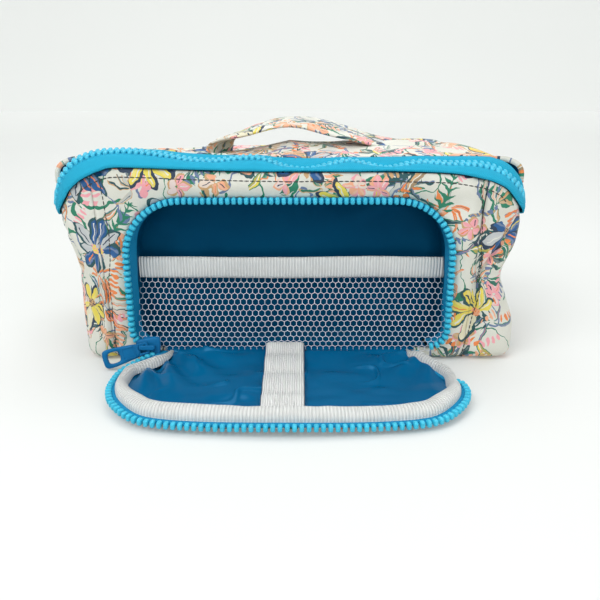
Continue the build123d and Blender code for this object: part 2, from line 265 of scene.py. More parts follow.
NAVY = (0.014, 0.035, 0.075)
TEAL = (0.012, 0.075, 0.085)
GREEN = (0.012, 0.200, 0.110)
STEEL = (0.130, 0.190, 0.330)
ROYAL = (0.008, 0.090, 0.270)
PEACH = (0.830, 0.400, 0.240)
ORANGE = (0.800, 0.225, 0.055)
PINK = (0.830, 0.350, 0.390)
YELLOW = (0.780, 0.640, 0.090)
TAN = (0.580, 0.350, 0.160)
GROUND = (0.640, 0.640, 0.560)
WHITE = (0.720, 0.715, 0.650)


def palette(*colors):
    return [(i / len(colors), color) for i, color in enumerate(colors)]


def motif_cell(paint, uv, size, seed, randomness=0.75):
    """The place relative to the nearest of many scattered centres, and three random numbers."""
    shifted = paint.node("ShaderNodeVectorMath", {0: uv, 1: (seed * 37.7, seed * 91.3, 0)}).outputs[0]
    cells = paint.node("ShaderNodeTexVoronoi",
                       {"Vector": shifted, "Scale": 1 / size, "Randomness": randomness},
                       voronoi_dimensions="2D")
    local = paint.node("ShaderNodeVectorMath", {0: shifted, 1: cells.outputs["Position"]},
                       operation="SUBTRACT").outputs[0]
    x, y, _ = paint.split(local)
    red, green, blue = paint.split(cells.outputs["Color"])
    return x, y, red, green, blue


def turned(x, y, angle):
    """x and y turned by an angle that differs from motif to motif."""
    c, s = angle.cos(), angle.sin()
    return x * c + y * s, y * c - x * s


def petals(paint, below, uv, size, seed, count, long, wide, fill, chance, drop,
           rim=(NAVY, TEAL, NAVY), curl=0.0):
    """Scattered flowers or sprays of separate brushed petals, each with its own tone and uneven rim."""
    x, y, red, green, blue = motif_cell(paint, uv, size, seed)
    reach = (x * x + y * y).op("SQRT")
    turn = (y.op("ARCTAN2", x) * (0.5 / pi) + 0.5 + red + reach * curl) * count
    index = turn.op("FLOOR").op("MODULO", count)
    tone = paint.node("ShaderNodeTexWhiteNoise", {"Vector": paint.join(index, red * 57.0, blue * 91.0)})
    first, second, third = paint.split(tone.outputs["Color"])
    delta = (turn.op("FRACT") - 0.5) * (2 * pi / count)
    along, across = reach * delta.cos(), reach * delta.sin()
    half = first * (0.45 * long) + 0.75 * long
    girth = second * (0.5 * wide) + 0.7 * wide
    there = (along - half - 0.16 * long) / half
    inside = (there * there + (across / girth).op("POWER", 2.0)) < 1.0
    shown = (green > (1.0 - chance)) * (third > drop)
    inside = inside * shown
    offset = (along - half - 0.10 * long) / (half * 0.86)
    inner = (offset * offset + ((across + 0.20 * wide) / (girth * 0.76)).op("POWER", 2.0)) < 1.0
    base = paint.ramp(blue, palette(*fill), constant=True)
    base = paint.mix((second > 0.84) * 0.7, base, WHITE)
    streak = (along * 0.35 + across * 2.1 + first * 30.0).sin().soft(0.3, 1.0, 0.0, 0.22)
    base = paint.mix(streak, base, WHITE)
    out = paint.mix(inside, below, paint.ramp(red, palette(*rim), constant=True))
    out = paint.mix(inside * inner, out, base)
    vein = inside * inner * (across.abs() < (0.10 * wide)) * (there.abs() < 0.55) * (first > 0.45)
    return paint.mix(vein, out, paint.ramp(third, palette(YELLOW, NAVY, WHITE, ORANGE, NAVY), constant=True))


def hearts(paint, below, uv, size, seed, radius, chance):
    """The middles of the flowers: a loose clump of dabs."""
    x, y, red, green, blue = motif_cell(paint, uv, size, seed)
    reach = (x * x + y * y).op("SQRT")
    ragged = reach + paint.noise(uv, 0.9, 1.0) * 2.2 - 1.1
    core = (ragged < radius) * (green > (1.0 - chance))
    dots = core * (paint.noise(uv, 1.3, 0.0) > 0.56)
    out = paint.mix(core, below, paint.ramp(red, palette(TAN, PEACH, YELLOW, TAN), constant=True))
    return paint.mix(dots, out, paint.ramp(blue, palette(PINK, ORANGE, NAVY), constant=True))


def leaves(paint, below, uv, size, length, width, seed, fill, chance):
    """Scattered single leaves, one half darker, with a midrib."""
    x, y, red, green, blue = motif_cell(paint, uv, size, seed)
    x, y = turned(x, y, red * (2 * pi))
    bend = x * x * 0.03
    y = y - bend
    half = (x * x * (-1 / length ** 2) + 1.0) * width
    inside = (y.abs() < half) * (green > (1.0 - chance))
    rim = inside * (y.abs() > (half - 0.45))
    rib = inside * (y.abs() < 0.22)
    out = paint.mix(inside, below, paint.ramp(blue, palette(*fill), constant=True))
    out = paint.mix(inside * (y > 0.0) * 0.45, out, TEAL)
    out = paint.mix(rim * (blue > 0.4), out, GREEN)
    return paint.mix(rib, out, WHITE)


def fronds(paint, below, uv, size, length, seed, fill, chance):
    """Scattered fern sprigs: a stem with slanting leaflets on both sides."""
    x, y, red, green, blue = motif_cell(paint, uv, size, seed)
    x, y = turned(x, y, red * (2 * pi))
    y = y - (x * 0.16).sin() * 1.4
    shown = (green > (1.0 - chance)) * (x.abs() < length)
    stem = shown * (y.abs() < 0.28)
    tip = (x * (1 / length)) * -0.45 + 0.65
    along = (x - y.abs() * 0.75).op("WRAP", 1.5, -1.5).abs()
    leaflet_half = (y.abs() * (-1 / 5.2) + tip) * 1.25
    leaflet = shown * (along < leaflet_half)
    color = paint.ramp(blue, palette(*fill), constant=True)
    return paint.mix(stem.op("MAXIMUM", leaflet), below, color)


def dashes(paint, below, uv, size, seed, fill, chance):
    """Scattered small brush dabs in threes."""
    x, y, red, green, blue = motif_cell(paint, uv, size, seed, 1.0)
    x, y = turned(x, y, red * (2 * pi))
    y = y.op("WRAP", 1.1, -1.1)
    dab = (x * x * 0.20 + y * y * 1.6 < 0.72) * (green > (1.0 - chance))
    return paint.mix(dab, below, paint.ramp(blue, palette(*fill), constant=True))


def print_material():
    paint = Paint("floral_print", Roughness=0.62, Sheen_Weight=0.12, Sheen_Roughness=0.5)
    uv = paint.uv()
    wobble = paint.node("ShaderNodeTexNoise", {"Vector": uv, "Scale": 0.16, "Detail": 2.0})
    moved = paint.node("ShaderNodeVectorMath", {0: wobble.outputs["Color"], 1: (0.5, 0.5, 0.5)},
                       operation="SUBTRACT").outputs[0]
    moved = paint.node("ShaderNodeVectorMath", {0: moved, 1: (5, 5, 0)}, operation="MULTIPLY").outputs[0]
    drawn = paint.node("ShaderNodeVectorMath", {0: uv, 1: moved}).outputs[0]
    color = paint.ramp(paint.noise(uv, 0.05), [(0.3, GROUND), (0.7, WHITE)])
    vine = (paint.noise(drawn, 0.035, 1.0) - 0.5).abs() < 0.006
    color = paint.mix(vine, color, GREEN)
    vine = (paint.noise(paint.join(*paint.split(drawn)[1::-1], 7.0), 0.040, 1.0) - 0.52).abs() < 0.005
    color = paint.mix(vine, color, STEEL)
    color = petals(paint, color, drawn, 19, 7, 11, 4.6, 0.85,
                   (GREEN, ORANGE, TEAL, PEACH, TAN, GREEN), 0.8, 0.45,
                   (GREEN, ORANGE, TAN), 0.012)
    color = petals(paint, color, drawn, 24, 8, 13, 6.0, 0.95, (TEAL, GREEN, STEEL, ORANGE, TEAL), 0.8, 0.5,
                   (GREEN, TEAL, STEEL), -0.010)
    color = fronds(paint, color, drawn, 33, 13, 1, (TEAL, TEAL, GREEN, TEAL), 0.8)
    color = leaves(paint, color, drawn, 15, 6.0, 1.7, 2, (GREEN, TAN, STEEL, PEACH, YELLOW), 0.6)
    color = dashes(paint, color, drawn, 9, 4, (PINK, PEACH, ORANGE, STEEL, TAN), 0.45)
    color = petals(paint, color, drawn, 17, 5, 5, 2.5, 1.9, (PINK, TAN, PEACH, PINK), 0.55, 0.1,
                   (PEACH, TAN, PINK))
    color = petals(paint, color, drawn, 33, 6, 8, 5.6, 2.6, (PEACH, ROYAL, YELLOW, PEACH, ROYAL, YELLOW),
                   0.95, 0.18)
    color = hearts(paint, color, drawn, 33, 6, 2.0, 0.95)
    grain = paint.noise(uv, 2.2, 2.0)
    shade = paint.ramp(grain, [(0.35, (0.45, 0.45, 0.45)), (0.65, (1, 1, 1))])
    color = paint.mix(0.10, color, shade, "MULTIPLY")
    cloth = paint.bump(paint.noise(uv, 0.12, 3.0), 0.35, 0.0012)
    return paint.finish(color, weave(paint, uv, 0.45, 0.45, cloth))


def woven_material(name, dark, light, pitch, strength, variation=0.06, **shader):
    """A woven cloth: two near colours, soft unevenness and a weave at that pitch."""
    paint = Paint(name, **shader)
    uv = paint.uv()
    color = paint.ramp(paint.noise(uv, variation, 3.0), [(0.25, dark), (0.75, light)])
    soft = paint.bump(paint.noise(uv, 0.25, 3.0), 0.25, 0.0006)
    return paint.finish(color, weave(paint, uv, pitch, strength, soft))


def ribbed_material(name, dark, light, pitch, **shader):
    """Grosgrain: ribs across the band, so along its length they follow each other at that pitch; the grooves
    between the ribs get painted shade.
    """
    paint = Paint(name, **shader)
    u, v, _ = paint.split(paint.uv())
    rib = (u * (2 * pi / pitch)).sin() * 0.5 + 0.5
    thread = (v * (2 * pi / 0.45)).sin() * 0.12
    soil = paint.ramp(paint.noise(paint.uv(), 0.12, 3.0), [(0.3, dark), (0.7, light)])
    # Darkens the grooves between the ribs towards half the dark tone: painted shade.
    color = paint.mix(rib.soft(0.0, 0.40, 0.45, 0.0), soil, tuple(0.5 * c for c in dark))
    return paint.finish(color, paint.bump(rib + thread, 1.0, 0.0004))


def herringbone_material(name, dark, light, **shader):
    """Zip tape: a fine twill that slants one way and then the other, its ridges painted lighter and its grooves
    darker as painted shade.
    """
    paint = Paint(name, **shader)
    u, v, _ = paint.split(paint.uv())
    slant = v.op("PINGPONG", 1.8)
    twill = ((u + slant) * (2 * pi / 0.8)).sin() * 0.5 + 0.5
    # Twill ridges lighter and grooves darker, following the bump's height: painted shade.
    color = paint.mix(twill, dark, light)
    color = paint.mix(paint.noise(paint.uv(), 0.2, 3.0) * 0.30, color, dark)
    return paint.finish(color, paint.bump(twill, 0.5, 0.00015))


def plastic_material(name, color, light, **shader):
    paint = Paint(name, **shader)
    place = paint.place()
    tone = paint.ramp(paint.noise(place, 0.12, 2.0), [(0.3, color), (0.7, light)])
    return paint.finish(tone, paint.bump(paint.noise(place, 2.5, 3.0), 0.12, 0.0001))


def net_material():
    paint = Paint("net_thread", Roughness=0.45, Sheen_Weight=0.3)
    grain = paint.noise(paint.place(), 0.5, 2.0)
    tone = paint.ramp(grain, [(0.3, (0.62, 0.64, 0.76)), (0.7, (0.84, 0.85, 0.92))])
    return paint.finish(tone, paint.bump(paint.noise(paint.place(), 4.0, 2.0), 0.3, 0.0001))


def floor_material(name, near_glow, far_glow):
    """Pale paper that stays even from the front to far behind the bag."""
    paint = Paint(name, Roughness=0.7, Specular_IOR_Level=0.2)
    grain = paint.noise(paint.place(), 0.004, 2.0)
    tone = paint.ramp(grain, [(0.3, (0.61, 0.62, 0.61)), (0.7, (0.62, 0.63, 0.62))])
    paint.shader.inputs["Emission Color"].default_value = (0.96, 0.98, 0.96, 1)
    _, y, _ = paint.split(paint.place())
    glow = y.soft(0, 1500, near_glow, far_glow)
    paint.tree.links.new(glow.socket, paint.shader.inputs["Emission Strength"])
    return paint.finish(tone)


PRINT = print_material()
BLUE_SHINE = (0.20, 0.62, 1.0, 1)
# The lining inside the bag and lid is a darker copy of the flap's lining cloth, about half as bright: painted
# shade for the inside of the bag.
LINING = woven_material("blue_lining_painted_shade", (0.000, 0.046, 0.112), (0.000, 0.062, 0.140), 0.5, 0.10, 0.03,
                        Roughness=0.45, Specular_IOR_Level=0.12, Specular_Tint=BLUE_SHINE)
FLAP_LINING = woven_material("flap_lining", (0.000, 0.088, 0.215), (0.000, 0.112, 0.260), 0.5, 0.10, 0.03,
                             Roughness=0.22, Specular_IOR_Level=0.35, Specular_Tint=BLUE_SHINE)
BINDING = ribbed_material("white_grosgrain", (0.76, 0.77, 0.755), (0.84, 0.85, 0.835), 1.3, Roughness=0.8)
ELASTIC = ribbed_material("white_elastic", (0.80, 0.81, 0.795), (0.87, 0.88, 0.865), 0.9, Roughness=0.8)
TOP_TAPE = herringbone_material("cyan_tape", (0.008, 0.290, 0.470), (0.018, 0.400, 0.600), Roughness=0.85,
                                Specular_IOR_Level=0.2)
FRONT_TAPE = herringbone_material("blue_tape", (0.003, 0.185, 0.370), (0.008, 0.270, 0.500), Roughness=0.85,
                                  Specular_IOR_Level=0.2)
TEETH = plastic_material("cyan_teeth", (0.030, 0.440, 0.640), (0.050, 0.520, 0.720), Roughness=0.35,
                         Specular_IOR_Level=0.35)
SLIDER = plastic_material("blue_slider", (0.000, 0.105, 0.270), (0.001, 0.130, 0.320), Roughness=0.45,
                          Specular_IOR_Level=0.5, Specular_Tint=(0.3, 0.6, 1.0, 1))
THREAD = woven_material("dark_thread", (0.030, 0.032, 0.030), (0.060, 0.060, 0.055), 0.3, 0.3, Roughness=0.6)
BOARD = plastic_material("stiffener", (0.45, 0.45, 0.44), (0.52, 0.52, 0.50), Roughness=0.8)
NET = net_material()

bpy.ops.mesh.primitive_plane_add(size=12, location=(0, 0, lowest_z() - 0.0001))
floor = bpy.context.object
floor.name = "floor"
floor.data.materials.append(floor_material("pale_floor", 0.15, 0.41))
bpy.ops.mesh.primitive_plane_add(size=12, location=(0, 1.6, 0), rotation=(radians(90), 0, 0))
backdrop = bpy.context.object
backdrop.name = "backdrop"
backdrop.data.materials.append(floor_material("pale_wall", 0.37, 0.37))

# --------------------------------------------------------------------------------------------------
# Building pieces from rows of points


def bumps(points, size, seed):
    """Smooth noise from -1 to 1 at each point; size is how far apart its bumps are."""
    table = np.random.default_rng(seed).uniform(-1, 1, (32, 32, 32))
    place = np.asarray(points, float) / size + 200.0
    cell = np.floor(place).astype(int)
    part = place - cell
    part = part * part * (3 - 2 * part)
    total = 0.0
    for corner in np.ndindex(2, 2, 2):
        weight = np.prod(np.where(np.array(corner) == 1, part, 1 - part), axis=-1)
        i, j, k = [(cell[..., axis] + corner[axis]) % 32 for axis in range(3)]
        total = total + weight * table[i, j, k]
    return total


def resample(points, count):
    """That many points, evenly spaced along a polyline."""
    points = np.asarray(points, float)
    run = np.concatenate([[0], np.cumsum(np.linalg.norm(np.diff(points, axis=0), axis=1))])
    places = np.linspace(0, run[-1], count)
    return np.column_stack([np.interp(places, run, points[:, i]) for i in range(points.shape[1])])


def spline(points, count):
    """That many points, evenly spaced along a smooth curve through the given ones."""
    given = np.array(points, float)
    ends = np.vstack([2 * given[0] - given[1], given, 2 * given[-1] - given[-2]])
    t = np.linspace(0, 1, 12, endpoint=False)[:, None]
    dense = [0.5 * (2 * b + (c - a) * t + (2 * a - 5 * b + 4 * c - d) * t ** 2 + (3 * b - a - 3 * c + d) * t ** 3)
             for a, b, c, d in zip(ends, ends[1:], ends[2:], ends[3:])]
    return resample(np.vstack(dense + [given[-1:]]), count)


def lengths(points):
    """The distance run along a polyline at each of its points."""
    return np.concatenate([[0], np.cumsum(np.linalg.norm(np.diff(points, axis=0), axis=1))])


def unit(vectors):
    return vectors / np.maximum(np.linalg.norm(vectors, axis=-1, keepdims=True), 1e-9)


def grid_normals(rows):
    """The normal at each point of a grid of points."""
    return unit(np.cross(np.gradient(rows, axis=1), np.gradient(rows, axis=0)))


def fade(x, low, high):
    """0 below low, 1 above high and smooth between them."""
    t = np.clip((np.asarray(x, float) - low) / (high - low), 0, 1)
    return t * t * (3 - 2 * t)


class Skin:
    """Sheets of quads with flat pattern coordinates, gathered for one piece."""

    def __init__(self):
        self.points = []
        self.flat = []
        self.faces = []
        self.total = 0

    def add(self, points, flat, faces):
        self.points.append(np.asarray(points, float).reshape(-1, 3))
        self.flat.append(np.asarray(flat, float).reshape(-1, 2))
        self.faces.append(np.asarray(faces) + self.total)
        self.total += len(self.points[-1])

    def grid(self, rows, flat, flip=False):
        """A grid of points: rows x columns."""
        m, n = rows.shape[:2]
        i, j = np.meshgrid(np.arange(m - 1), np.arange(n - 1), indexing="ij")
        corner = (i * n + j).ravel()
        faces = np.column_stack([corner, corner + 1, corner + n + 1, corner + n])
        self.add(rows, flat, faces[:, ::-1] if flip else faces)

    def piece(self, name, material, body, replaces=(), thick=0.0, weld=0.02):
        """Makes the object, in metres, and lets it ride on a body unless body is None."""
        points = np.vstack(self.points)
        flat = np.vstack(self.flat)
        faces = [face for block in self.faces for face in block.tolist()]
        mesh = bpy.data.meshes.new(name)
        mesh.from_pydata((points * MM).tolist(), [], faces)
        layer = mesh.uv_layers.new(name="flat")
        corners = np.empty(len(mesh.loops), int)
        mesh.loops.foreach_get("vertex_index", corners)
        layer.data.foreach_set("uv", flat[corners].ravel())
        shape = bmesh.new()
        shape.from_mesh(mesh)
        if weld:
            bmesh.ops.remove_doubles(shape, verts=shape.verts, dist=weld * MM)
        shape.to_mesh(mesh)
        shape.free()
        mesh.polygons.foreach_set("use_smooth", [True] * len(mesh.polygons))
        made = bpy.data.objects.new(name, mesh)
        bpy.context.scene.collection.objects.link(made)
        mesh.materials.append(material)
        if thick:
            solid = made.modifiers.new("thickness", "SOLIDIFY")
            solid.thickness = thick * MM
            solid.offset = -1
        if body:
            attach(made, body)
        if replaces:
            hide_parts(*replaces)
        return made


def pebble(size, squareness=0.55, around=10, rings=6):
    """A rounded block, centred on the origin: (points, faces). Squareness 1 is an ellipsoid, near 0 a box."""
    polar = np.linspace(0, pi, rings + 1)[1:-1]
    turn = np.linspace(0, 2 * pi, around, endpoint=False) + pi / around

    def power(value):
        return np.sign(value) * np.abs(value) ** squareness

    points = [np.array([power(sin(a)) * power(cos(b)), power(sin(a)) * power(sin(b)), power(cos(a))])
              for a in polar for b in turn]
    points = np.vstack([points, [[0, 0, 1], [0, 0, -1]]]) * np.array(size) / 2
    faces = []
    for i in range(rings - 2):
        for j in range(around):
            k = (j + 1) % around
            faces.append([i * around + j, (i + 1) * around + j, (i + 1) * around + k, i * around + k])
    caps = []
    for j in range(around):
        k = (j + 1) % around
        caps.append([len(points) - 2, j, k])
        caps.append([len(points) - 1, (rings - 2) * around + k, (rings - 2) * around + j])
    return points, faces, caps


def stamp(skin, form, origins, frames):
    """Copies of a form: frames holds each copy's three axes as rows."""
    points, faces, caps = form
    for origin, axes in zip(origins, frames):
        placed = points @ np.asarray(axes) + origin
        base = len(placed)
        skin.add(placed, np.zeros((base, 2)), np.zeros((0, 4), int))
        start = skin.total - base
        skin.faces.append(np.asarray(faces) + start)
        skin.faces.append(np.asarray(caps) + start)


def tooth_frames(path, pitch, outward, start=0.0, shift=0.0, side=0.0):
    """Spots every pitch along a path with their axes; outward is one vector for each of its points."""
    run = lengths(path)
    places = np.arange(start + shift, run[-1] - start, pitch)
    spots = np.column_stack([np.interp(places, run, path[:, i]) for i in range(3)])
    ahead = np.column_stack([np.interp(places + 0.5, run, path[:, i]) for i in range(3)])
    behind = np.column_stack([np.interp(places - 0.5, run, path[:, i]) for i in range(3)])
    along = unit(ahead - behind)
    out = np.column_stack([np.interp(places, run, outward[:, i]) for i in range(3)])
    across = unit(np.cross(out, along))
    out = np.cross(along, across)
    return spots + across * side, np.stack([along, across, out], axis=1)


# --------------------------------------------------------------------------------------------------
# The bag's lines, from the middle of the front round to the zip's end on either side

RIGHT, LEFT = 1, -1
ZIP_END_Y = 27.0
SEAM_LOW_X = 76.7
SEAM_TOP_X = 80.5
HALF_D = 43.0
BACK_TOP_Z = 57.0

# Where the bag's print ends at the top zip's tape
PANEL_EDGE = {
    RIGHT: [(0, -43.3, 82.7), (40, -43.4, 82.8), (65, -43.4, 82.1), (79, -43.3, 79.8), (85, -43.1, 77.8),
            (88.4, -42.7, 75.9), (91.3, -42.1, 72.9), (93.8, -41, 70), (96.2, -38.5, 67.4),
            (97.8, -35, 65.2), (98.6, -30, 64.2), (99.2, -22, 62.6), (99.5, -8, 57.5), (99.3, 4, 52.5),
            (98.2, ZIP_END_Y, 47.8)],
    LEFT: [(0, -43.3, 82.7), (-36, -43.4, 83.4), (-68, -43.4, 84.5), (-76.3, -43.3, 83),
           (-80.4, -43.2, 81.4), (-84.6, -43, 79.2), (-89, -42.5, 75.4), (-90.8, -42, 72.6),
           (-92.6, -40.8, 70.2), (-95, -37.5, 67.2), (-96.9, -33, 64.4), (-98.2, -28, 63.6),
           (-99, -20, 62), (-99.5, -8, 57), (-99.3, 4, 52.5), (-98.2, ZIP_END_Y, 47.8)]}
# Where the lid's print ends
LID_EDGE = {
    RIGHT: [(0, -25, 84.9), (13, -25, 84.7), (47, -25, 85.4), (81, -25, 85.5), (87.6, -25, 84.6),
            (91.9, -24.6, 83), (95.3, -24.2, 80.4), (98.2, -23.4, 77), (99.3, -21.5, 74),
            (99.7, -18, 71.8), (99.8, -13, 70.2), (99.7, 0, 68.6), (99, ZIP_END_Y, 67.2)],
    LEFT: [(0, -25, 84.9), (-34, -25, 86.2), (-60, -25, 88), (-80, -25, 87.4), (-88, -24.6, 84.8),
           (-93.5, -24.2, 81), (-97, -23.4, 77.4), (-99, -21.5, 74), (-99.6, -18, 71.8),
           (-99.8, -13, 70.2), (-99.7, 0, 68.6), (-99, ZIP_END_Y, 67.2)]}
# The middle of the top zip's chain
CHAIN = {
    RIGHT: [(4.5, -37.6, 81.8), (10.7, -36.8, 82.1), (19, -34.2, 83.9), (25.2, -33.6, 84.8),
            (31.4, -34.6, 83.6), (39.7, -36.6, 82.1), (45.9, -35.6, 82.8), (54.1, -34, 84.3),
            (66.6, -34.4, 83.7), (79, -34, 83.4), (87.2, -33.6, 80.9), (92.5, -33, 77.3),
            (96.4, -32, 73.2), (98.6, -29.6, 70), (99.6, -24.5, 68.4), (99.8, -14, 65.4), (99.7, 0, 61.5),
            (98.8, ZIP_END_Y, 57.7)],
    LEFT: [(4.5, -37.6, 81.8), (-3.8, -36.4, 83.2), (-10, -34.4, 85.5), (-16.2, -33.6, 86.3),
           (-24, -34, 85.6), (-31, -34.6, 84.9), (-41, -34.6, 85.3), (-49.3, -33.8, 86.8),
           (-61.7, -33, 88.4), (-70, -32.6, 88.8), (-79.6, -32.8, 88), (-88, -33, 85), (-92, -33, 81.5),
           (-95.2, -32.5, 77), (-97, -31.4, 72.5), (-98.6, -29, 69.8), (-99.6, -24, 68.2),
           (-99.8, -14, 65.2), (-99.7, 0, 61.5), (-98.8, ZIP_END_Y, 57.7)]}


def whole(line, count):
    """A line from the zip's left end over the front to its right end."""
    return spline(line[LEFT][::-1] + line[RIGHT][1:], count)


# --------------------------------------------------------------------------------------------------
# The bag's padded body

FRONT_CENTRE_Z = 38.0
OPEN_HALF_W = 68.2
OPEN_TOP_Z = 71.5
OPEN_LOW_Z = 7.5


def rounded_box(half_w, low, high, low_r, high_r, count):
    """A closed outline in front view, anticlockwise from the middle of its right side, as x and z."""
    corners = [((half_w - high_r, high - high_r), high_r, 0), ((high_r - half_w, high - high_r), high_r, 90),
               ((low_r - half_w, low + low_r), low_r, 180), ((half_w - low_r, low + low_r), low_r, 270)]
    outline = [(half_w, FRONT_CENTRE_Z)]
    for (x, z), radius, first in corners:
        for step in range(13):
            angle = radians(first + 7.5 * step)
            outline.append((x + radius * cos(angle), z + radius * sin(angle)))
    outline.append(outline[0])
    return resample(outline, count)


SEAM_Z = [0, 4, 12.5, 30, 36, 54, 63, 70, 84]
SEAM_X = {RIGHT: [76, 76.3, 78.6, 81, 81.4, 80.7, 80.2, 79.2, 77.6],
          LEFT: [-76.3, -76.3, -76.5, -77, -76.7, -74.5, -75.3, -76, -77]}


def seam_x(side, z):
    """Where an upright seam runs on the front at a height."""
    return np.interp(z, SEAM_Z, SEAM_X[side])


def soften(points, normals):
    """Moves points of the bag's cover out and in: padding between the seams, dents and wrinkles."""
    x, y, z = points[..., 0], points[..., 1], points[..., 2]
    free = fade(z, 2, 14) * (1 - 0.6 * fade(z, 66, 84))
    push = 0.8 * bumps(points * (1, 1, 1.6), 26, 1) + 0.45 * bumps(points * (1.3, 1, 0.8), 11, 2)
    fold = np.abs(bumps(points * (1, 1, 0.7), 17, 3))
    push = push - 1.0 * (1 - fade(fold, 0.0, 0.22))
    front = fade(-y, 30, 41)
    seam = np.minimum(np.abs(x - seam_x(RIGHT, z)), np.abs(x - seam_x(LEFT, z)))
    valley = front * (1 - fade(seam, 0.0, 3.2))
    side = fade(np.abs(x), 84, 93) * (1 - front)
    belly = 1.6 * side * np.sin(np.clip(z / 58, 0, 1) * pi) * fade(z, 0, 8)
    crease = np.abs((x - 92) * 0.78 - (z - 56) * 0.33 + 1.2 * bumps(points, 9, 4))
    crease_here = front * fade(x, 81, 83) * fade(z, 22, 30) * (1 - fade(z, 54, 60))
    push = push * free * 1.1 + belly - 1.6 * valley - 2.0 * crease_here * (1 - fade(crease, 0, 2.4))
    moved = points + normals * push[..., None]
    waist = 6.5 * np.exp(-((z - 38) / 12) ** 2) * fade(x, 76, 92) * (1 - 0.6 * fade(y, -20, 30))
    tuck = 6.0 * fade(64 - z, 0, 24) * fade(-x, 78, 90) * (1 - 0.5 * fade(y, -20, 35))
    moved[..., 0] += tuck - waist
    return moved


def column_stations(side):
    """The body's outline at the bottom and its top edge, from the front seam to the middle of the back."""
    base = [(SEAM_LOW_X, -43), (84, -43), (88, -42.9), (91.2, -42.1), (93.6, -40.6), (95.3, -38.4),
            (96.2, -35), (96.5, -22), (96.5, 0), (96.5, ZIP_END_Y)]
    edge = resample(spline(PANEL_EDGE[side], 400), 400)
    edge = edge[np.abs(edge[:, 0]) >= SEAM_TOP_X]
    first = 90
    low = spline(base, first) * (side, 1)
    high = resample(edge, first)
    corner = [(side * 96.5, ZIP_END_Y + 0.2)] + [
        (side * (88.5 + 8 * cos(radians(a))), 35 + 8 * sin(radians(a))) for a in range(0, 91, 15)] + [(0, 43)]
    rear = resample(corner, 70)
    rear_top = np.column_stack([rear[:, 0] * (1 + 0.018 * (np.abs(rear[:, 0]) > 80)), rear[:, 1],
                                np.full(70, BACK_TOP_Z)])
    low = np.vstack([low, rear])
    high = np.vstack([high, rear_top])
    return np.column_stack([low, np.zeros(len(low))]), high


def body_cover():
    """The printed cover of the bag below the zip: sides, back, front round the opening, and bottom."""
    skin = Skin()
    rows = 46
    foot = 5.0
    bottoms = []
    for side in (RIGHT, LEFT):
        low, high = column_stations(side)
        across = np.column_stack([np.gradient(low[:, 1]), -np.gradient(low[:, 0]), np.zeros(len(low))])
        outward = unit(across) * side
        v = np.linspace(0, 1, rows)[:, None, None]
        grid = low + (high - low) * v
        grid[..., 2] = high[:, 2] * v[..., 0]
        round_off = foot - np.sqrt(np.maximum(0, foot ** 2 - np.clip(foot - grid[..., 2], 0, foot) ** 2))
        grid = grid - outward * round_off[..., None]
        grid = soften(grid, np.broadcast_to(outward, grid.shape))
        if side == RIGHT:
            grid[..., 0] += 2.4 * (1 - fade(grid[..., 2], 14, 26)) * fade(grid[..., 0], 80, 95)
        run = lengths(low[:, :2])
        flat = np.stack([side * (SEAM_LOW_X + np.broadcast_to(run, grid.shape[:2])), grid[..., 2]], axis=-1)
        skin.grid(grid, flat, flip=side == LEFT)
        bottoms.append(grid[0])
    ring(skin, foot, bottoms)
    return skin.piece("bag_cover", PRINT, "bag",
                      ("front_panel", "back_panel", "side_panel_left", "side_panel_right", "bottom_panel"),
                      thick=2.2)


def front_y(z):
    """The front wall's surface before softening."""
    return -HALF_D - 0.4 * np.clip(z / 80, 0, 1)


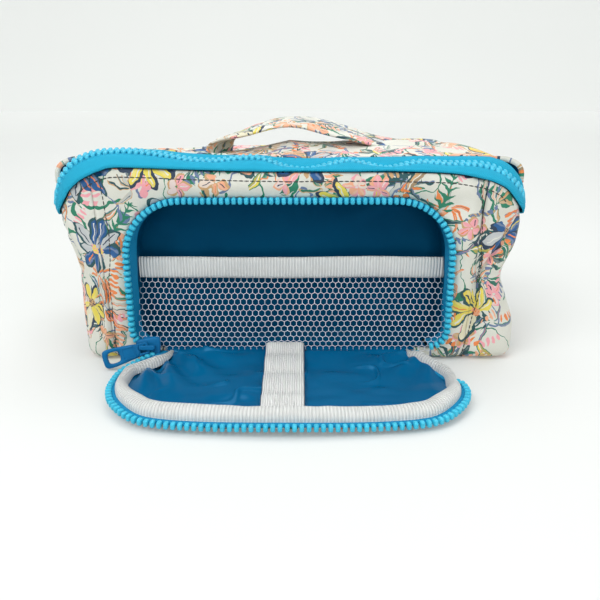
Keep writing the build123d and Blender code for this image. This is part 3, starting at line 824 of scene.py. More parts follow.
def ring(skin, foot, bottoms):
    """The front wall between its seams and the opening, and the bottom."""
    count = 361
    inner = rounded_box(OPEN_HALF_W + 1.2, OPEN_LOW_Z - 1.6, OPEN_TOP_Z + 1.2, 8, 24.5, count)
    top = np.vstack([spline(PANEL_EDGE[LEFT], 400)[::-1], spline(PANEL_EDGE[RIGHT], 400)[1:]])
    top = top[np.abs(top[:, 0]) <= SEAM_TOP_X][:, [0, 2]]
    outer = np.vstack([[SEAM_LOW_X + (SEAM_TOP_X - SEAM_LOW_X) * FRONT_CENTRE_Z / 80, FRONT_CENTRE_Z],
                       [SEAM_TOP_X, 79.8], top[::-1], [-SEAM_TOP_X, 82], [-SEAM_LOW_X, 0], [SEAM_LOW_X, 0],
                       [SEAM_LOW_X + (SEAM_TOP_X - SEAM_LOW_X) * FRONT_CENTRE_Z / 80, FRONT_CENTRE_Z]])
    outer = resample(outer, 2400)
    angle = np.unwrap(np.arctan2(outer[:, 1] - FRONT_CENTRE_Z, outer[:, 0]))
    wanted = np.unwrap(np.arctan2(inner[:, 1] - FRONT_CENTRE_Z, inner[:, 0]))
    outer = np.column_stack([np.interp(wanted, angle, outer[:, 0]), np.interp(wanted, angle, outer[:, 1])])
    k = np.linspace(0, 1, 13)[:, None, None]
    plane = inner + (outer - inner) * k
    x, z = plane[..., 0], plane[..., 1]
    grid = np.stack([x, front_y(z), z], axis=-1)
    round_off = foot - np.sqrt(np.maximum(0, foot ** 2 - np.clip(foot - z, 0, foot) ** 2))
    grid[..., 1] += round_off
    normals = np.zeros_like(grid)
    normals[..., 1] = -1
    rim = fade(k[..., 0], 0.0, 0.3) * np.ones_like(x)
    soft = soften(grid, normals)
    grid = grid + (soft - grid) * (0.25 + 0.75 * rim)[..., None]
    grid[..., 1] -= 1.6 * np.sin(np.clip(k[..., 0], 0, 1) * pi) * fade(z, 10, 30)
    turn_in = grid[0] + np.array([0, 1.6, 0]) - np.column_stack([inner[:, 0] * 0.006, np.zeros(count),
                                                                 (inner[:, 1] - FRONT_CENTRE_Z) * 0.01])
    grid = np.concatenate([turn_in[None], grid])
    flat = np.stack([grid[..., 0], grid[..., 2]], axis=-1)
    skin.grid(grid, flat, flip=True)
    outline = []
    for x in np.linspace(SEAM_LOW_X, -SEAM_LOW_X, 80):
        outline.append((x, -HALF_D + foot, 0))
    edge = np.vstack([outline, bottoms[1], bottoms[0][::-1]])
    edge = edge[None] * np.linspace(1, 0.02, 8)[:, None, None]
    edge[..., 2] = 0
    skin.grid(edge, edge[..., :2])


body = body_cover()

# --------------------------------------------------------------------------------------------------
# Top zip: two tapes and the closed chain

LINE_COUNT = 420
chain_line = whole(CHAIN, LINE_COUNT)
panel_line = whole(PANEL_EDGE, LINE_COUNT)
lid_line = whole(LID_EDGE, LINE_COUNT)


def matched(line, other):
    """Points of a line at the places nearest to another line's points, in order along it."""
    dense = resample(line, 4000)
    found = []
    low = 0
    for point in other:
        window = dense[low:low + 400]
        low += int(np.argmin(np.linalg.norm(window - point, axis=1)))
        found.append(dense[low])
    return np.array(found)


panel_line = matched(panel_line, chain_line)
lid_line = matched(lid_line, chain_line)
zip_out = unit(np.cross(np.gradient(chain_line, axis=0), lid_line - panel_line))
if zip_out[LINE_COUNT // 2][2] < 0:
    zip_out = -zip_out


def top_tape(name, edge, node, body):
    """One tape of the top zip: from under its panel's edge to the chain's teeth."""
    toward = unit(edge - chain_line)
    near = chain_line + toward * 0.9 + zip_out * 0.2
    far = edge + toward * 0.6 + zip_out * 0.6
    k = np.linspace(0, 1, 9)[:, None, None]
    grid = near + (far - near) * k + zip_out * (1.1 * np.sin(k * pi))
    grid = grid + zip_out * (0.35 * bumps(grid, 9, 11))[..., None] * np.sin(k * pi)
    width = np.linalg.norm(far - near, axis=1)
    flat = np.stack([np.broadcast_to(lengths(chain_line), grid.shape[:2]), k[..., 0] * width], axis=-1)
    skin = Skin()
    skin.grid(grid, flat, flip=node == "lid_zip_tape")
    skin.piece(name, TOP_TAPE, body, (node,), thick=0.7)


top_tape("top_tape_bag", panel_line, "top_zip_tape", "bag")
top_tape("top_tape_lid", lid_line, "lid_zip_tape", "lid")

PITCH = 2.54
for chain_name, chain_node, chain_body, chain_side, chain_shift in (
        ("top_chain_bag", "top_zip_teeth", "bag", 1, 0.0),
        ("top_chain_lid", "lid_zip_teeth", "lid", -1, PITCH / 2)):
    teeth = Skin()
    spots, frames = tooth_frames(chain_line, PITCH, zip_out, 3.0, chain_shift, 1.3 * chain_side)
    stamp(teeth, pebble((1.8, 4.2, 2.9), 0.5), spots + frames[:, 2] * 0.7, frames)
    teeth.piece(chain_name, TEETH, chain_body, (chain_node,), weld=0)

# --------------------------------------------------------------------------------------------------
# Lid


def lid_cover():
    """The printed lid: over the top, down its sides to the zip, and down the back to its hinge seam."""
    depth = np.concatenate([np.linspace(-24.6, -10, 18), np.linspace(-8.5, ZIP_END_Y, 24),
                            np.linspace(28, 41, 12)])
    theta = np.linspace(0, pi, 161)
    low_y = [-24.6, -21.5, -18, -13, 0, ZIP_END_Y, ZIP_END_Y + 0.6, 43]
    low_z = [76, 74, 71, 69.6, 68.6, 67.2, 57.3, 57.3]
    grid = np.zeros((len(depth), len(theta), 3))
    for i, y in enumerate(depth):
        z_low = np.interp(y, low_y, low_z)
        z_top = 88.8 - 140 + sqrt(140 ** 2 - (y + 4) ** 2)
        drop = max(0, y - 37) ** 2 * 0.13
        half = 99.2 - max(0, y - 35) ** 2 * 0.10 - max(0, -20 - y) * 0.12
        c, s = np.cos(theta), np.sin(theta)
        power = 0.42
        grid[i, :, 0] = half * np.sign(c) * np.abs(c) ** power
        grid[i, :, 1] = y
        grid[i, :, 2] = z_low + (z_top - drop - z_low) * np.abs(s) ** power
    back = []
    last = grid[-1]
    for k in np.linspace(0, 1, 10)[1:]:
        row = last.copy()
        row[:, 2] = last[:, 2] + (57.3 - last[:, 2]) * k
        row[:, 1] = 41 + 2.2 * sin(min(1, k * 3) * pi / 2)
        back.append(row)
    grid = np.concatenate([grid, np.array(back)])
    front = np.interp(grid[0, :, 0], lid_line[:, 0], lid_line[:, 2]) - 0.4
    middle = 1 - fade(np.abs(grid[0, :, 0]), 84, 93)
    fall = (grid[0, :, 2] - front) * middle
    grid[..., 2] -= fall * (1 - fade(grid[..., 1], -25, -6)) * fade(grid[..., 2], 70, 80)
    normals = -grid_normals(grid)
    normals[..., 2] = np.where(np.abs(normals[..., 2]) < 0.01, 0.01, normals[..., 2])
    x, y, z = grid[..., 0], grid[..., 1], grid[..., 2]
    free = fade(y, -24, -17) * (1 - fade(y, 34, 42)) * fade(z, 60, 74)
    push = 1.0 * bumps(grid, 30, 21) + 0.8 * bumps(grid * (1, 1.4, 1), 13, 22)
    push = push - 1.2 * (1 - fade(np.abs(bumps(grid * (0.8, 1.5, 1), 20, 23)), 0, 0.2))
    puff = 2.4 * np.exp(-((x - 62) / 26) ** 2 - ((y - 6) / 20) ** 2)
    puff = puff + 2.2 * np.exp(-((x - 8) / 20) ** 2 - (y / 18) ** 2)
    puff = puff - 1.6 * np.exp(-((x + 66) / 22) ** 2 - ((y - 4) / 20) ** 2)
    sag = 2.0 + 3.2 * (1 - fade(x, -26, -4))
    grid = grid + normals * ((push + puff) * free)[..., None]
    grid[..., 2] -= sag * fade(y, -24, -13) * (1 - fade(y, 24, 40)) * fade(z, 74, 84)
    run = lengths(grid[:, 80])
    across = np.array([lengths(row) - lengths(row)[80] for row in grid])
    flat = np.stack([-across, np.broadcast_to(run[:, None], across.shape) + 90], axis=-1)
    skin = Skin()
    skin.grid(grid, flat, flip=False)
    made = skin.piece("lid_cover", PRINT, "lid", ("lid_panel",), thick=2.2)
    return grid


lid_grid = lid_cover()


def lid_lining():
    """Slack lining inside the lid, caught at the lid's edges."""
    height = lid_grid[..., 2]
    inner = lid_grid * (0.962, 0.93, 1)
    inner[..., 2] -= 3.8 * fade(height, 60, 80)
    inner = inner + 0.9 * bumps(inner, 16, 61)[..., None] * (0.3, 0.3, 1)
    free = fade(lid_grid[..., 1], -24.6, -20) * fade(np.sin(np.linspace(0, pi, lid_grid.shape[1])), 0.0, 0.12)
    inner = lid_grid + (inner - lid_grid) * free[..., None]
    skin = Skin()
    skin.grid(inner, inner[..., :2] + inner[..., 2:], flip=True)
    made = skin.piece("lid_lining_cloth", LINING, "lid", ("lid_lining",))


def bag_lining():
    """Slack lining inside the bag: from the zip down, over the front compartment, to the floor."""
    back = spline([(98, 30, 52), (97.4, 37, 55.5), (92, 42, 57), (60, 43, 57), (0, 43, 57), (-60, 43, 57),
                   (-92, 42, 57), (-97.4, 37, 55.5), (-98, 30, 52)], 240)
    loop = np.vstack([panel_line, back, panel_line[:1]])
    inner = loop * (0.958, 0.915, 1)
    ledge = inner.copy()
    ledge[:, 1] = np.maximum(ledge[:, 1], -27.2)
    floor_z = 4.4
    waist = ledge * (0.93, 0.98, 1)
    stages = [loop * (0.992, 0.985, 1) - (0, 0, 0.8)]
    for plan, z in ((inner, np.minimum(loop[:, 2] - 2.5, 76.5)), (ledge, np.minimum(loop[:, 2] - 4, 74.2)),
                    (waist, np.minimum(loop[:, 2] - 12, 50)), (waist, 9.0), (waist * 0.985, 5.4),
                    (waist * 0.95, floor_z), (ledge * 0.5, floor_z), (ledge * 0.02, floor_z)):
        stages.append(np.column_stack([plan[:, :2], np.broadcast_to(z, len(loop))]))
    stages = np.array(stages)
    grid = np.stack([resample(stages[:, i], 80) for i in range(len(loop))], axis=1)
    free = np.sin(np.linspace(0, pi, 80))[:, None] ** 0.5
    fold = 1.1 * bumps(grid * (1, 1, 0.5), 15, 62) + 0.6 * bumps(grid, 7, 63)
    grid[..., :2] *= (1 - 0.012 * (1 + fold) * free)[..., None]
    grid[..., 2] += 0.5 * (1 + fold) * free * (1 - fade(grid[..., 2], 4.6, 9))
    down = np.array([lengths(grid[:, i]) for i in range(0, len(loop), 40)]).mean(axis=0)
    flat = np.stack(np.broadcast_arrays(lengths(loop), down[:, None]), axis=-1)
    skin = Skin()
    skin.grid(grid, flat)
    made = skin.piece("bag_lining_cloth", LINING, "bag", ("main_lining",))


def bottle_loops():
    """Elastic sewn to the back wall every 30 mm, standing off it in loops that hold small bottles."""
    x = np.linspace(-75, 75, 241)
    z = np.linspace(17.5, 42.5, 12)
    stand = 1.2 + 5.2 * np.abs(np.sin(pi * (x + 75) / 30)) ** 0.7
    grid = np.zeros((len(z), len(x), 3))
    grid[..., 0] = x
    grid[..., 1] = 37.6 - stand - 0.25 * bumps(np.column_stack([x, x, x]), 9, 64)
    grid[..., 2] = z[:, None]
    run = lengths(grid[0])
    flat = np.stack(np.broadcast_arrays(run, z[:, None]), axis=-1)
    skin = Skin()
    skin.grid(grid, flat)
    made = skin.piece("bottle_loops", ELASTIC, "bag", ("bottle_band",), thick=0.8)


lid_lining()
bag_lining()
bottle_loops()

# --------------------------------------------------------------------------------------------------
# Front opening: tape, chain, compartment, net pocket


def opening(inset, y, count=241):
    """The opening's outline drawn in by inset at a depth, as points."""
    line = rounded_box(OPEN_HALF_W - inset, OPEN_LOW_Z + inset, OPEN_TOP_Z - inset, 8 - min(inset, 4),
                       24 - min(inset, 4), count)
    return np.column_stack([line[:, 0], np.full(count, y), line[:, 1]])


def opening_wall(name, material, steps, replaces, low_part=None):
    """A wall that follows the opening's outline; steps are (inset, depth) from front to back.

    low_part chooses the stretch along the flap's hinge (True), the rest (False) or the whole outline (None).
    """
    grid = np.array([opening(inset, y) for inset, y in steps])
    if low_part is not None:
        outline = opening(0.0, 0.0)[:-1]
        hinge = (outline[:, 2] < OPEN_LOW_Z + 0.8) & (np.abs(outline[:, 0]) < 60.5)
        start = np.flatnonzero(hinge)[-1] + 1
        grid = np.roll(grid[:, :-1], -start, axis=1)
        first = int(np.argmax(np.roll(hinge, -start)))
        grid = grid[:, first - 1:] if low_part else grid[:, :first + 1]
    inward = np.zeros_like(grid)
    inward[..., 0] = -grid[..., 0] / 70
    inward[..., 2] = (FRONT_CENTRE_Z - grid[..., 2]) / 35
    deep = fade(grid[..., 1], -43, -38)
    grid[..., 0] += 1.2 * fade(-grid[..., 0], 50, 66) * fade(grid[..., 1], -44, -38.5)
    low = (grid[..., 2] < OPEN_LOW_Z + 3) & (np.abs(grid[..., 0]) < 60)
    grid[..., 1] = np.where(low, np.maximum(grid[..., 1], -42.4), grid[..., 1])
    grid = grid + inward * (0.9 * deep * bumps(grid, 12, 31))[..., None]
    around = lengths(grid[0])
    depth = np.array([y for _, y in steps])
    flat = np.stack(np.broadcast_arrays(around, depth[:, None]), axis=-1)
    skin = Skin()
    skin.grid(grid, flat)
    return skin.piece(name, material, "bag", replaces)


TAPE_STEPS = [(-1.6, -41.6), (-1.2, -43.0), (-0.3, -43.9), (0.7, -43.8), (1.1, -43.0), (1.3, -41.0),
              (1.5, -38.0)]
LIP_STEPS = [(-1.4, -41.8), (-0.9, -42.6), (0.3, -42.6), (1.1, -42.0), (1.5, -38.0)]
WALL_STEPS = [(1.4, -38.4), (1.6, -36), (1.7, -33.5), (1.8, -31), (2.2, -29.4)]
opening_wall("front_tape", FRONT_TAPE, TAPE_STEPS, ("front_zip_tape",), low_part=False)
# The strip along the hinge takes the darker lining cloth: painted shade under the net's overhang.
opening_wall("hinge_lip", LINING, LIP_STEPS, (), low_part=True)
pocket_wall = opening_wall("pocket_wall", LINING, WALL_STEPS, ())


def pocket_back():
    """The compartment's back wall: slack dark lining, in the darker lining cloth that paints the recess's shade.
    """
    rim = opening(1.5, -29.2)
    k = np.linspace(1, 0.02, 26)[:, None, None]
    centre = np.array([0, -29.2, FRONT_CENTRE_Z])
    grid = centre + (rim - centre) * k
    slack = 1 - fade(k[..., 0], 0.9, 1.0)
    ripple = 1.1 * bumps(grid * (1, 1, 0.35), 12, 33) + 1.0 * bumps(grid, 24, 34)
    ripple = ripple - 1.2 * (1 - fade(np.abs(bumps(grid * (1, 1, 0.5), 22, 35)), 0, 0.25))
    grid[..., 1] += ripple * slack
    skin = Skin()
    skin.grid(grid, grid[..., [0, 2]])
    return skin.piece("pocket_back", LINING, "bag", ("front_pocket_lining",))


pocket_lining = pocket_back()


def opening_chain():
    """The bag's half of the open front zip: teeth that stand forward round the opening."""
    outline = opening(0.0, -44.6, 1200)[:-1]
    low = (outline[:, 2] < OPEN_LOW_Z + 0.4) & (np.abs(outline[:, 0]) < 60.5)
    gap_end = np.flatnonzero(low)[-1] + 1
    path = np.roll(outline, -gap_end, axis=0)
    path = path[~np.roll(low, -gap_end)]
    outward = np.tile([0.0, -1.0, 0.0], (len(path), 1))
    spots, frames = tooth_frames(path, PITCH, outward, 1.0)
    teeth = Skin()
    stamp(teeth, pebble((1.85, 2.9, 3.2), 0.5), spots, frames)
    return teeth.piece("front_chain_bag", TEETH, "bag", ("front_zip_teeth",), weld=0)


opening_chain()

NET_LOW_Z, NET_TOP_Z = 6.4, 37.5
CELL_W, CELL_ROW = 2.62, 2.2


def net_y(x, z):
    """The net's depth: it hangs forward from its binding to the compartment's front edge."""
    drop = fade(NET_TOP_Z - z, 0, 32)
    sag = 0.9 * bumps(np.stack([x, 0 * x, z * 0.5], axis=-1), 22, 41)
    return -34.6 - 9.4 * drop - 1.8 * np.sin(np.clip((z - NET_LOW_Z) / 30, 0, 1) * pi) - sag * fade(z, 8, 14)


def net_pocket():
    """A knitted net of six-sided cells."""
    known = {}
    points, faces = [], []
    tall = CELL_ROW * 0.66
    corner_list = [(0, tall), (-CELL_W / 2, CELL_ROW - tall), (-CELL_W / 2, tall - CELL_ROW), (0, -tall),
                   (CELL_W / 2, tall - CELL_ROW), (CELL_W / 2, CELL_ROW - tall)]
    for row in range(int((NET_TOP_Z + 1.5 - NET_LOW_Z) / CELL_ROW)):
        z = NET_LOW_Z + row * CELL_ROW
        reach = 66.4 - max(0, 13 - z) * 0.6
        for column in range(-27, 28):
            x = (column + 0.5 * (row % 2)) * CELL_W
            if x > reach or x < 2.0 - reach:
                continue
            face = []
            for dx, dz in corner_list:
                key = (round(x + dx, 2), round(z + dz, 2))
                if key not in known:
                    known[key] = len(points)
                    points.append(key)
                face.append(known[key])
            faces.append(face)
    flat = np.array(points)
    x, z = flat[:, 0], flat[:, 1]
    wander = bumps(np.stack([x, 0 * x, z], axis=-1), 15, 42)
    shape = np.column_stack([x + 0.5 * wander, net_y(x, z), z + 0.25 * wander])
    mesh = bpy.data.meshes.new("net")
    mesh.from_pydata((shape * MM).tolist(), [], faces)
    mesh.polygons.foreach_set("use_smooth", [True] * len(mesh.polygons))
    made = bpy.data.objects.new("net", mesh)
    bpy.context.scene.collection.objects.link(made)
    mesh.materials.append(NET)
    wire = made.modifiers.new("threads", "WIREFRAME")
    wire.thickness = 0.31 * MM
    wire.use_even_offset = False
    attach(made, "bag")
    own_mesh(made)
    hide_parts("mesh_pocket")
    return made


net = net_pocket()


def net_binding():
    """The white grosgrain band along the net's upper edge, folded over it."""
    x = np.linspace(-65, 67, 140)
    profile = [(36.2, -34.0), (36.0, -35.0), (37.2, -35.9), (40.5, -36.2), (44.0, -36.0), (45.3, -35.2),
               (45.4, -34.4), (44.6, -33.6)]
    profile = spline(profile, 18)
    grid = np.zeros((len(profile), len(x), 3))
    lift = 0.7 * bumps(np.stack([x, 0 * x, 0 * x], axis=-1), 34, 43) - 0.7 * np.cos(x / 67 * pi / 2)
    for i, (z, y) in enumerate(profile):
        grid[i, :, 0] = x
        grid[i, :, 1] = y + 0.5 * bumps(np.stack([x, 0 * x, 0 * x + z], axis=-1), 25, 44)
        grid[i, :, 2] = z + lift
    flat = np.stack(np.broadcast_arrays(x, lengths(profile)[:, None]), axis=-1)
    skin = Skin()
    skin.grid(grid, flat, flip=True)
    return skin.piece("net_band", BINDING, "bag", ("mesh_binding",))


band = net_binding()

# --------------------------------------------------------------------------------------------------
# Flap: a padded panel that lies open on the table

FLAP_RIM = {
    RIGHT: [(54.5, 0.5), (55.5, 5), (59.5, 12), (65, 20), (68.6, 29), (69.3, 38), (66, 47), (58, 56),
            (48, 60.5), (30, 63), (0, 64.5)],
    LEFT: [(-57, 0.5), (-58.5, 5), (-64, 12), (-69, 20), (-70.3, 29), (-69.5, 38), (-66, 47), (-58, 56),
           (-48, 60.5), (-30, 63), (0, 64.5)]}
HINGE_Y = -44.1
RIM_COUNT = 301


def flap_rim(inset):
    """The flap's free edge, right to left, drawn in by inset: x and distance from the hinge."""
    rim = spline([(*point, 0) for point in FLAP_RIM[RIGHT] + FLAP_RIM[LEFT][-2::-1]], RIM_COUNT)[:, :2]
    ahead = unit(np.gradient(rim, axis=0))
    inward = np.column_stack([-ahead[:, 1], ahead[:, 0]])
    moved = rim + inward * inset
    moved[:, 1] = np.maximum(moved[:, 1], 0.2)
    return moved


def flap_place(plan, height):
    """Where a point of the flap lies: plan is (x, distance from the hinge), height is above its middle."""
    x, reach = plan[..., 0], plan[..., 1]
    base = 5.0 - 2.6 * fade(reach, 0, 34)
    wave = 0.8 * bumps(np.stack([x, reach, 0 * x], axis=-1), 34, 51) * fade(reach, 6, 30)
    lift = 1.0 * fade(np.abs(x), 50, 70) * fade(reach, 14, 40)
    return np.stack([x, HINGE_Y - reach, base + wave + lift + height], axis=-1)


def fan(inset, height, rows=34):
    """A grid from the hinge line to the drawn-in rim; height is a number or a function of the plan."""
    rim = flap_rim(inset)
    end = 56 - 0.7 * float(np.min(inset))
    hinge = np.column_stack([np.linspace(end, -end, RIM_COUNT), np.full(RIM_COUNT, 0.2)])
    k = np.linspace(0, 1, rows)[:, None, None]
    plan = hinge + (rim - hinge) * k
    return plan, flap_place(plan, height(plan, k[..., 0]) if callable(height) else height)


def border(profile):
    """A strip along the rim; profile is (inset, height) across it."""
    grid, plans = [], []
    for inset, height in profile:
        plan = flap_rim(inset[:, None] if np.ndim(inset) else inset)
        ends = fade(plan[:, 1], 0, 7)
        grid.append(flap_place(plan, height * (0.35 + 0.65 * ends)))
        plans.append(plan)
    run = lengths(np.array(plans)[0])
    across = lengths(np.array([(float(np.median(inset)), height) for inset, height in profile]))
    flat = np.stack(np.broadcast_arrays(run, across[:, None]), axis=-1)
    return np.array(grid), flat


# Along the rim: nearness to its far end, its tapered ends, where the right side is tucked under the roll,
# where the left side lies loose, and the roll's inset, width and height
rim_reach, rim_x = flap_rim(0.0)[:, 1], flap_rim(0.0)[:, 0]
rim_far, rim_ends = fade(rim_reach, 30, 54), fade(rim_reach, 0, 9)
rim_tuck = np.where(rim_x > 0, fade(rim_reach, 4, 9) * (1 - fade(rim_reach, 22, 31)), 0)
rim_loose = np.where(rim_x < 0, 1 - fade(rim_reach, 8, 22), 0)
roll_inset = 2.2 + 0.8 * rim_far + 3.0 * rim_loose - 2.6 * rim_tuck
roll_width = (4.6 + 3.6 * rim_far) * (0.4 + 0.6 * rim_ends)
roll_height = (2.4 + 1.2 * rim_ends + 0.9 * rim_far) * (0.3 + 0.7 * rim_ends)


def flap_cover():
    """The printed, lightly padded outside, with its edge turned up round the rim."""
    plan, grid = fan(4.0, lambda p, k: -1.7 - 0.5 * np.sin(k * pi))
    first = grid[0] + (0, 1.6, -1.0)
    grid = np.concatenate([first[None], grid])
    grid[..., 2] = np.maximum(grid[..., 2], 0.15)
    flat = np.concatenate([plan[:1] + (0, -2), plan]) * (1, -1)
    skin = Skin()
    skin.grid(grid, flat, flip=True)
    skin.grid(*border([(4.0, -1.7), (3.2, -1.2), (2.8, -0.5), (3.2, 0.1)]))
    cover = skin.piece("flap_cover", PRINT, None, ("flap_outer", "flap_padding"))
    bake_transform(cover)


def lining_height(p, k):
    """Folds that fan out from the hinge's corners, sharp crumples and loose ripples between the bindings."""
    point = np.stack([p[..., 0], p[..., 1], 0 * p[..., 0]], axis=-1)
    angle = np.arctan2(p[..., 1] + 4, p[..., 0] + 60)
    reach = np.hypot(p[..., 1] + 4, p[..., 0] + 60)
    ray = 1.5 * np.cos(angle * 17 + 1.3 * bumps(point, 26, 52)) * np.exp(-((reach - 26) / 17) ** 2)
    right_angle = np.arctan2(p[..., 1] + 2, 62 - p[..., 0])
    right_reach = np.hypot(p[..., 1] + 2, 62 - p[..., 0])
    ray = ray + 0.7 * np.cos(right_angle * 14) * np.exp(-((right_reach - 22) / 13) ** 2)
    crumple = 1 - fade(np.abs(bumps(point * (1, 1.5, 1), 15, 53)), 0, 0.16)
    crumple = crumple * fade(bumps(point, 20, 57), -0.2, 0.4)
    ripple = 1.3 * bumps(point * (1, 1.4, 1), 19, 54) + 0.7 * bumps(point * (1, 1.6, 1), 9, 58)
    edge = fade(k, 0.0, 0.08) * (1 - fade(k, 0.92, 1.0))
    return 0.9 + (0.9 * ray + ripple + 1.3 * crumple + 0.4) * edge * (1 - 0.65 * fade(k, 0.72, 0.95))


def flap_lining():
    """The coated lining inside the roll."""
    plan, grid = fan((roll_inset + 0.6 * roll_width)[:, None], lining_height, rows=90)
    inner = grid[0] + (0, 2.6, 0.9)
    grid = np.concatenate([inner[None], grid])
    flat = np.concatenate([plan[:1] + (0, -3), plan])
    skin = Skin()
    skin.grid(grid, flat)
    lining = skin.piece("flap_lining_cloth", FLAP_LINING, None, ("flap_lining",))
    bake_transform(lining)


def flap_tape():
    """The flap's half of the zip tape."""
    skin = Skin()
    skin.grid(*border([(0.6 + 2.4 * rim_tuck, 0.7), (2.0 + 1.6 * rim_tuck, 0.9), (3.6 + rim_tuck, 0.8),
                       (5.6 - rim_tuck, 0.5)]))
    skin.piece("flap_tape", FRONT_TAPE, "flap", ("flap_zip_tape",), thick=0.6)


def flap_roll():
    """The ribbed binding, rolled over the lining's edge."""
    turn = np.linspace(0, pi, 15)
    grid = []
    for a in turn:
        plan = flap_rim((roll_inset + roll_width * (0.5 - 0.5 * cos(a)))[:, None])
        grid.append(flap_place(plan, 0.9 + roll_height * sin(a) ** 0.75))
    grid = np.array(grid)
    pucker = 0.30 * bumps(grid, 5, 55) + 0.55 * bumps(grid, 12, 56)
    grid[..., 2] += pucker * rim_ends * np.sin(turn)[:, None]
    girth = np.concatenate([[0], np.cumsum(np.hypot(6 * np.diff(-np.cos(turn)), 4 * np.diff(np.sin(turn))))])
    flat = np.stack(np.broadcast_arrays(lengths(grid[0]), girth[:, None]), axis=-1)
    skin = Skin()
    skin.grid(grid, flat)
    skin.piece("flap_roll", BINDING, "flap", ("flap_binding",))


def flap_loops():
    """The elastic strip down the flap's middle, sewn down in three places so that it makes loops."""
    middle, half = -2, 8
    x = np.linspace(-half, half, 14) + middle
    reach = np.linspace(0.5, 54, 110)
    plan = np.stack(np.broadcast_arrays(x, reach[:, None]), axis=-1)
    across, along = plan[..., 0], plan[..., 1]
    sewn = np.minimum(np.minimum(np.abs(along - 8), np.abs(along - 23)), np.abs(along - 40))
    height = 2.4 - 1.2 * fade(along, 46, 53) + 1.5 * fade(sewn, 0, 6) * (1 - fade(along, 44, 52))
    height = height - 0.5 * (1 - fade(np.abs(np.abs(across - middle) - half), 0, 1.0))
    skin = Skin()
    skin.grid(flap_place(plan, height), plan)
    skin.piece("flap_loops", ELASTIC, "flap", ("flap_elastic",), thick=0.7)


def flap_chain():
    """The flap's half of the open front zip."""
    outer = flap_rim((2.4 * rim_tuck)[:, None])
    path = flap_place(outer, 0.9 - 1.2 * rim_tuck)
    path = path[outer[:, 1] > 3.5]
    spots, frames = tooth_frames(path, PITCH, np.tile([0.0, 0.0, 1.0], (len(path), 1)), 0.5)
    skin = Skin()
    stamp(skin, pebble((1.75, 2.6, 2.6), 0.5), spots, frames)
    skin.piece("front_chain_flap", TEETH, "flap", ("flap_zip_teeth",), weld=0)


flap_cover()
flap_lining()
flap_tape()
flap_roll()
flap_loops()
flap_chain()

# --------------------------------------------------------------------------------------------------
# Handle

STRAP_LINE = [(-33, 83), (-32.6, 87), (-31.4, 90), (-27.5, 92.4), (-20, 94.5), (-11, 97.3), (-3, 98.9), (5, 98.8),
              (14, 97.2), (26, 94.2), (38, 90.9), (48, 89), (60, 88), (72, 85.6)]


def handle():
    """The printed strap: a flat sewn ribbon that arches over the lid and leans to the front."""
    line = spline([(x, 2.0, z) for x, z in STRAP_LINE], 120)
    along = unit(np.gradient(line, axis=0))
    up = np.cross(along, (0, 1.0, 0))
    up = up * np.sign(up[:, 2:3] + 1e-6)
    lean = radians(9) * np.sin(np.linspace(0, pi, len(line)))
    across = np.cos(lean)[:, None] * np.array([0, 1.0, 0]) + np.sin(lean)[:, None] * up
    twist = radians(30) * (1 - fade(lengths(line), 5, 24))
    across = unit(across + np.sin(twist)[:, None] * np.array([1.0, 0, 0]))
    up = np.cross(along, across)
    up = up * np.sign(up[:, 2:3] + 1e-6)
    turn = np.linspace(0, 2 * pi, 37)
    wide = np.sign(np.cos(turn)) * np.abs(np.cos(turn)) ** 0.5 * 11.3
    thick = np.sign(np.sin(turn)) * np.abs(np.sin(turn)) ** 0.8 * 1.15
    thick = thick * (1 - 0.35 * np.exp(-((np.abs(wide) - 9.3) / 0.7) ** 2))
    grid = line[None] + across[None] * wide[:, None, None] + up[None] * thick[:, None, None]
    curl = 0.5 * bumps(np.stack([line[:, 0], 0 * line[:, 0], 0 * line[:, 0]], axis=-1), 17, 61)
    grid = grid + up[None] * (curl * (wide[:, None] / 11))[..., None]
    around = np.concatenate([[0], np.cumsum(np.hypot(np.diff(wide), np.diff(thick)))])
    flat = np.stack(np.broadcast_arrays(lengths(line), around[:, None] + 40), axis=-1)
    skin = Skin()
    skin.grid(grid, flat)
    made = skin.piece("handle_strap_cloth", PRINT, None, ("handle_strap",))
    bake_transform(made)
    return made


handle()

# --------------------------------------------------------------------------------------------------
# Sliders and pulls: local x along the zip, z outwards


def ring_plate(skin, outline, hole, low, high, place):
    """A plate with rounded edges between a closed outline and a hole, both given as local x and y."""
    outer = resample(np.vstack([outline, outline[:1]]), 61)
    inner = resample(np.vstack([hole, hole[:1]]), 61)
    middle, half = (low + high) / 2, (high - low) / 2
    rows = []
    for k, h in ((0.0, -0.6), (0.15, -1), (0.85, -1), (1.0, -0.55), (1.0, 0.55), (0.85, 1), (0.15, 1),
                 (0.0, 0.6),
                 (0.0, -0.6)):
        flat = inner + (outer - inner) * k
        rows.append(np.column_stack([flat, np.full(len(flat), middle + half * h)]))
    grid = np.array(rows) @ place[1] + place[0]
    skin.grid(grid, grid[..., :2])


def rounded_outline(half_widths):
    """A closed outline symmetrical about x, anticlockwise, from (x, half width) pairs."""
    upper = spline([(x, w, 0) for x, w in half_widths], 40)[:, :2]
    return np.vstack([upper * (1, -1), upper[::-1]])


def blocks(skin, place, items):
    """Rounded blocks: (size, centre) in local axes."""
    for size, centre in items:
        stamp(skin, pebble(size, 0.4, 14, 8), [place[0] + np.array(centre) @ place[1]], [place[1]])


def local_axes(origin, along, out):
    """A local place: its origin and its three axes as rows."""
    out = np.array(out, float) / np.linalg.norm(out)
    along = np.array(along, float) - out * np.dot(along, out)
    along = along / np.linalg.norm(along)
    return np.array(origin, float), np.array([along, np.cross(out, along), out])


EYE_HEIGHT = 4.85


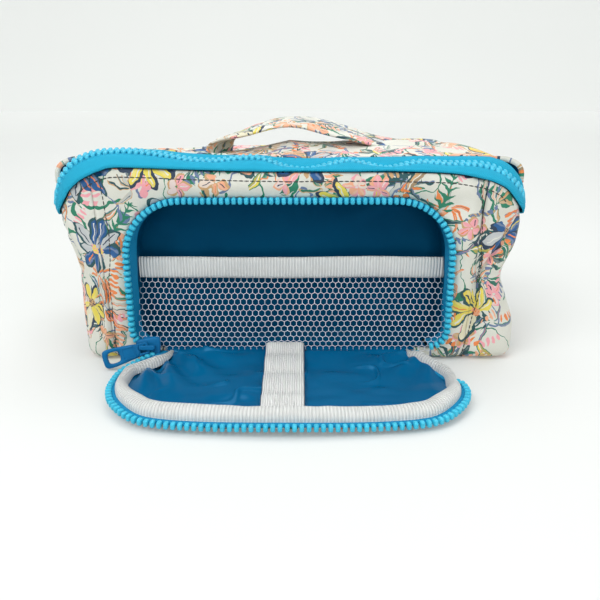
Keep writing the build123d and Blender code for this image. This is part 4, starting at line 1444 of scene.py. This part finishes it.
def slider_piece(name, place, body):
    """A moulded slider: a waisted top plate, two flanges and the bridge for the pull."""
    skin = Skin()
    plate = rounded_outline([(-5.2, 0.1), (-5.1, 2.6), (-3.4, 3.5), (0, 4.2), (3, 4.6), (5.0, 4.2),
                             (5.4, 0.1)])
    ring_plate(skin, plate, plate * 0.03, 2.5, 3.9, place)
    blocks(skin, place, [((7.4, 1.5, 1.6), (1.4, 3.9, 2.4)), ((7.4, 1.5, 1.6), (1.4, -3.9, 2.4)),
                         ((1.7, 2.0, 2.6), (-2.6, 0, 4.6)), ((1.7, 2.0, 2.6), (2.6, 0, 4.6)),
                         ((7.0, 2.1, 1.2), (0, 0, 5.8))])
    return skin.piece(name + "_body", SLIDER, body, (name,), weld=0)


def pull_piece(name, place, body):
    """A pull tab with a window near its end and a plain sunk panel near its neck."""
    skin = Skin()
    tab = rounded_outline([(3.2, 0.1), (3.4, 2.2), (5, 3.0), (10, 3.6), (15, 4.1), (18.2, 3.9), (19.2, 2.6),
                           (19.4, 0.1)])
    window = rounded_outline([(11.9, 0.1), (12.2, 1.7), (13.2, 2.3), (15.6, 2.4), (17, 1.8), (17.3, 0.1)])
    ring_plate(skin, tab, window, -0.85, 0.85, place)
    blocks(skin, place, [((5.2, 1.1, 1.2), (2.4, 2.1, 0)), ((5.2, 1.1, 1.2), (2.4, -2.1, 0)),
                         ((1.1, 5.4, 1.1), (0, 0, 0)), ((5.4, 0.5, 0.5), (8, 2.3, 0.85)),
                         ((5.4, 0.5, 0.5), (8, -2.3, 0.85)), ((0.5, 4.6, 0.5), (10.6, 0, 0.85)),
                         ((0.5, 4.2, 0.5), (5.4, 0, 0.85))])
    return skin.piece(name + "_tab", SLIDER, body, (name,), weld=0)


front_park = local_axes((-61, -44.85, 7.5), (1, 0, 0), (0, -0.95, 0.3122))
slider_piece("front_slider", front_park, "front_slider")
front_eye = front_park[0] + EYE_HEIGHT * front_park[1][2]
hang = np.array([-0.955, -0.15, -0.25]) / np.linalg.norm([-0.955, -0.15, -0.25])
face = front_park[1][2] - hang * np.dot(hang, front_park[1][2])
pull_piece("front_pull", local_axes(front_eye, hang, face), "front_pull")
top_run = np.array([0, -cos(radians(2.7)), sin(radians(2.7))])
top_park = local_axes((99, 21.4347, 57.9853), top_run, (1, 0, 0))
slider_piece("top_slider", top_park, "top_slider")
pull_piece("top_pull", local_axes((99 + EYE_HEIGHT, 21.4347, 57.9853), -top_run, (1, 0, 0)), "top_pull")

# --------------------------------------------------------------------------------------------------
# Stitches


def on_cover(cover, points, direction):
    """Where rays from the points hit a piece: places and normals; points that miss are left out."""
    tree = BVHTree.FromObject(cover, bpy.context.evaluated_depsgraph_get())
    places, normals = [], []
    for point in points:
        hit, normal, _, _ = tree.ray_cast(Vector(point) * MM, Vector(direction))
        if hit is not None:
            places.append(np.array(hit) / MM)
            normals.append(np.array(normal) * (-1 if normal.dot(Vector(direction)) > 0 else 1))
    return np.array(places), np.array(normals)


def stitches(name, cover, line, direction, body, pitch=2.5, size=(1.9, 0.42, 0.34)):
    """A row of dark stitches where a line falls on a cover."""
    places, normals = on_cover(cover, line, direction)
    skin = Skin()
    spots, frames = tooth_frames(places, pitch, normals, 0.5)
    stamp(skin, pebble(size, 0.9, 6, 4), spots, frames)
    skin.piece(name, THREAD, body, weld=0)


for side, word in ((RIGHT, "right"), (LEFT, "left")):
    z = np.linspace(4, 79.5 if side == RIGHT else 80.5, 120)
    wander = 0.5 * bumps(np.column_stack([z, z, z]), 9, 71)
    line = np.column_stack([seam_x(side, z) + wander, np.full(120, -60.0), z])
    stitches("seam_stitches_" + word, body, line, (0, 1, 0), "bag", 2.2, (2.1, 0.55, 0.4))
    under = spline(PANEL_EDGE[side], 500)
    under = under[np.abs(under[:, 0]) < (91 if side == RIGHT else 89)] + (0, -20, -3.4)
    under[:, 0] *= np.where(np.abs(under[:, 0]) > 80, 1 - 0.0016 * (np.abs(under[:, 0]) - 80), 1)
    under = under[1:] if side == LEFT else under
    stitches("edge_stitches_" + word, body, under, (0, 1, 0), "bag", 2.3, (2.15, 0.55, 0.4))

# --------------------------------------------------------------------------------------------------
# The stiffener keeps its CAD shape

base_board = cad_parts["base_board"]
base_board.data.materials.clear()
base_board.data.materials.append(BOARD)
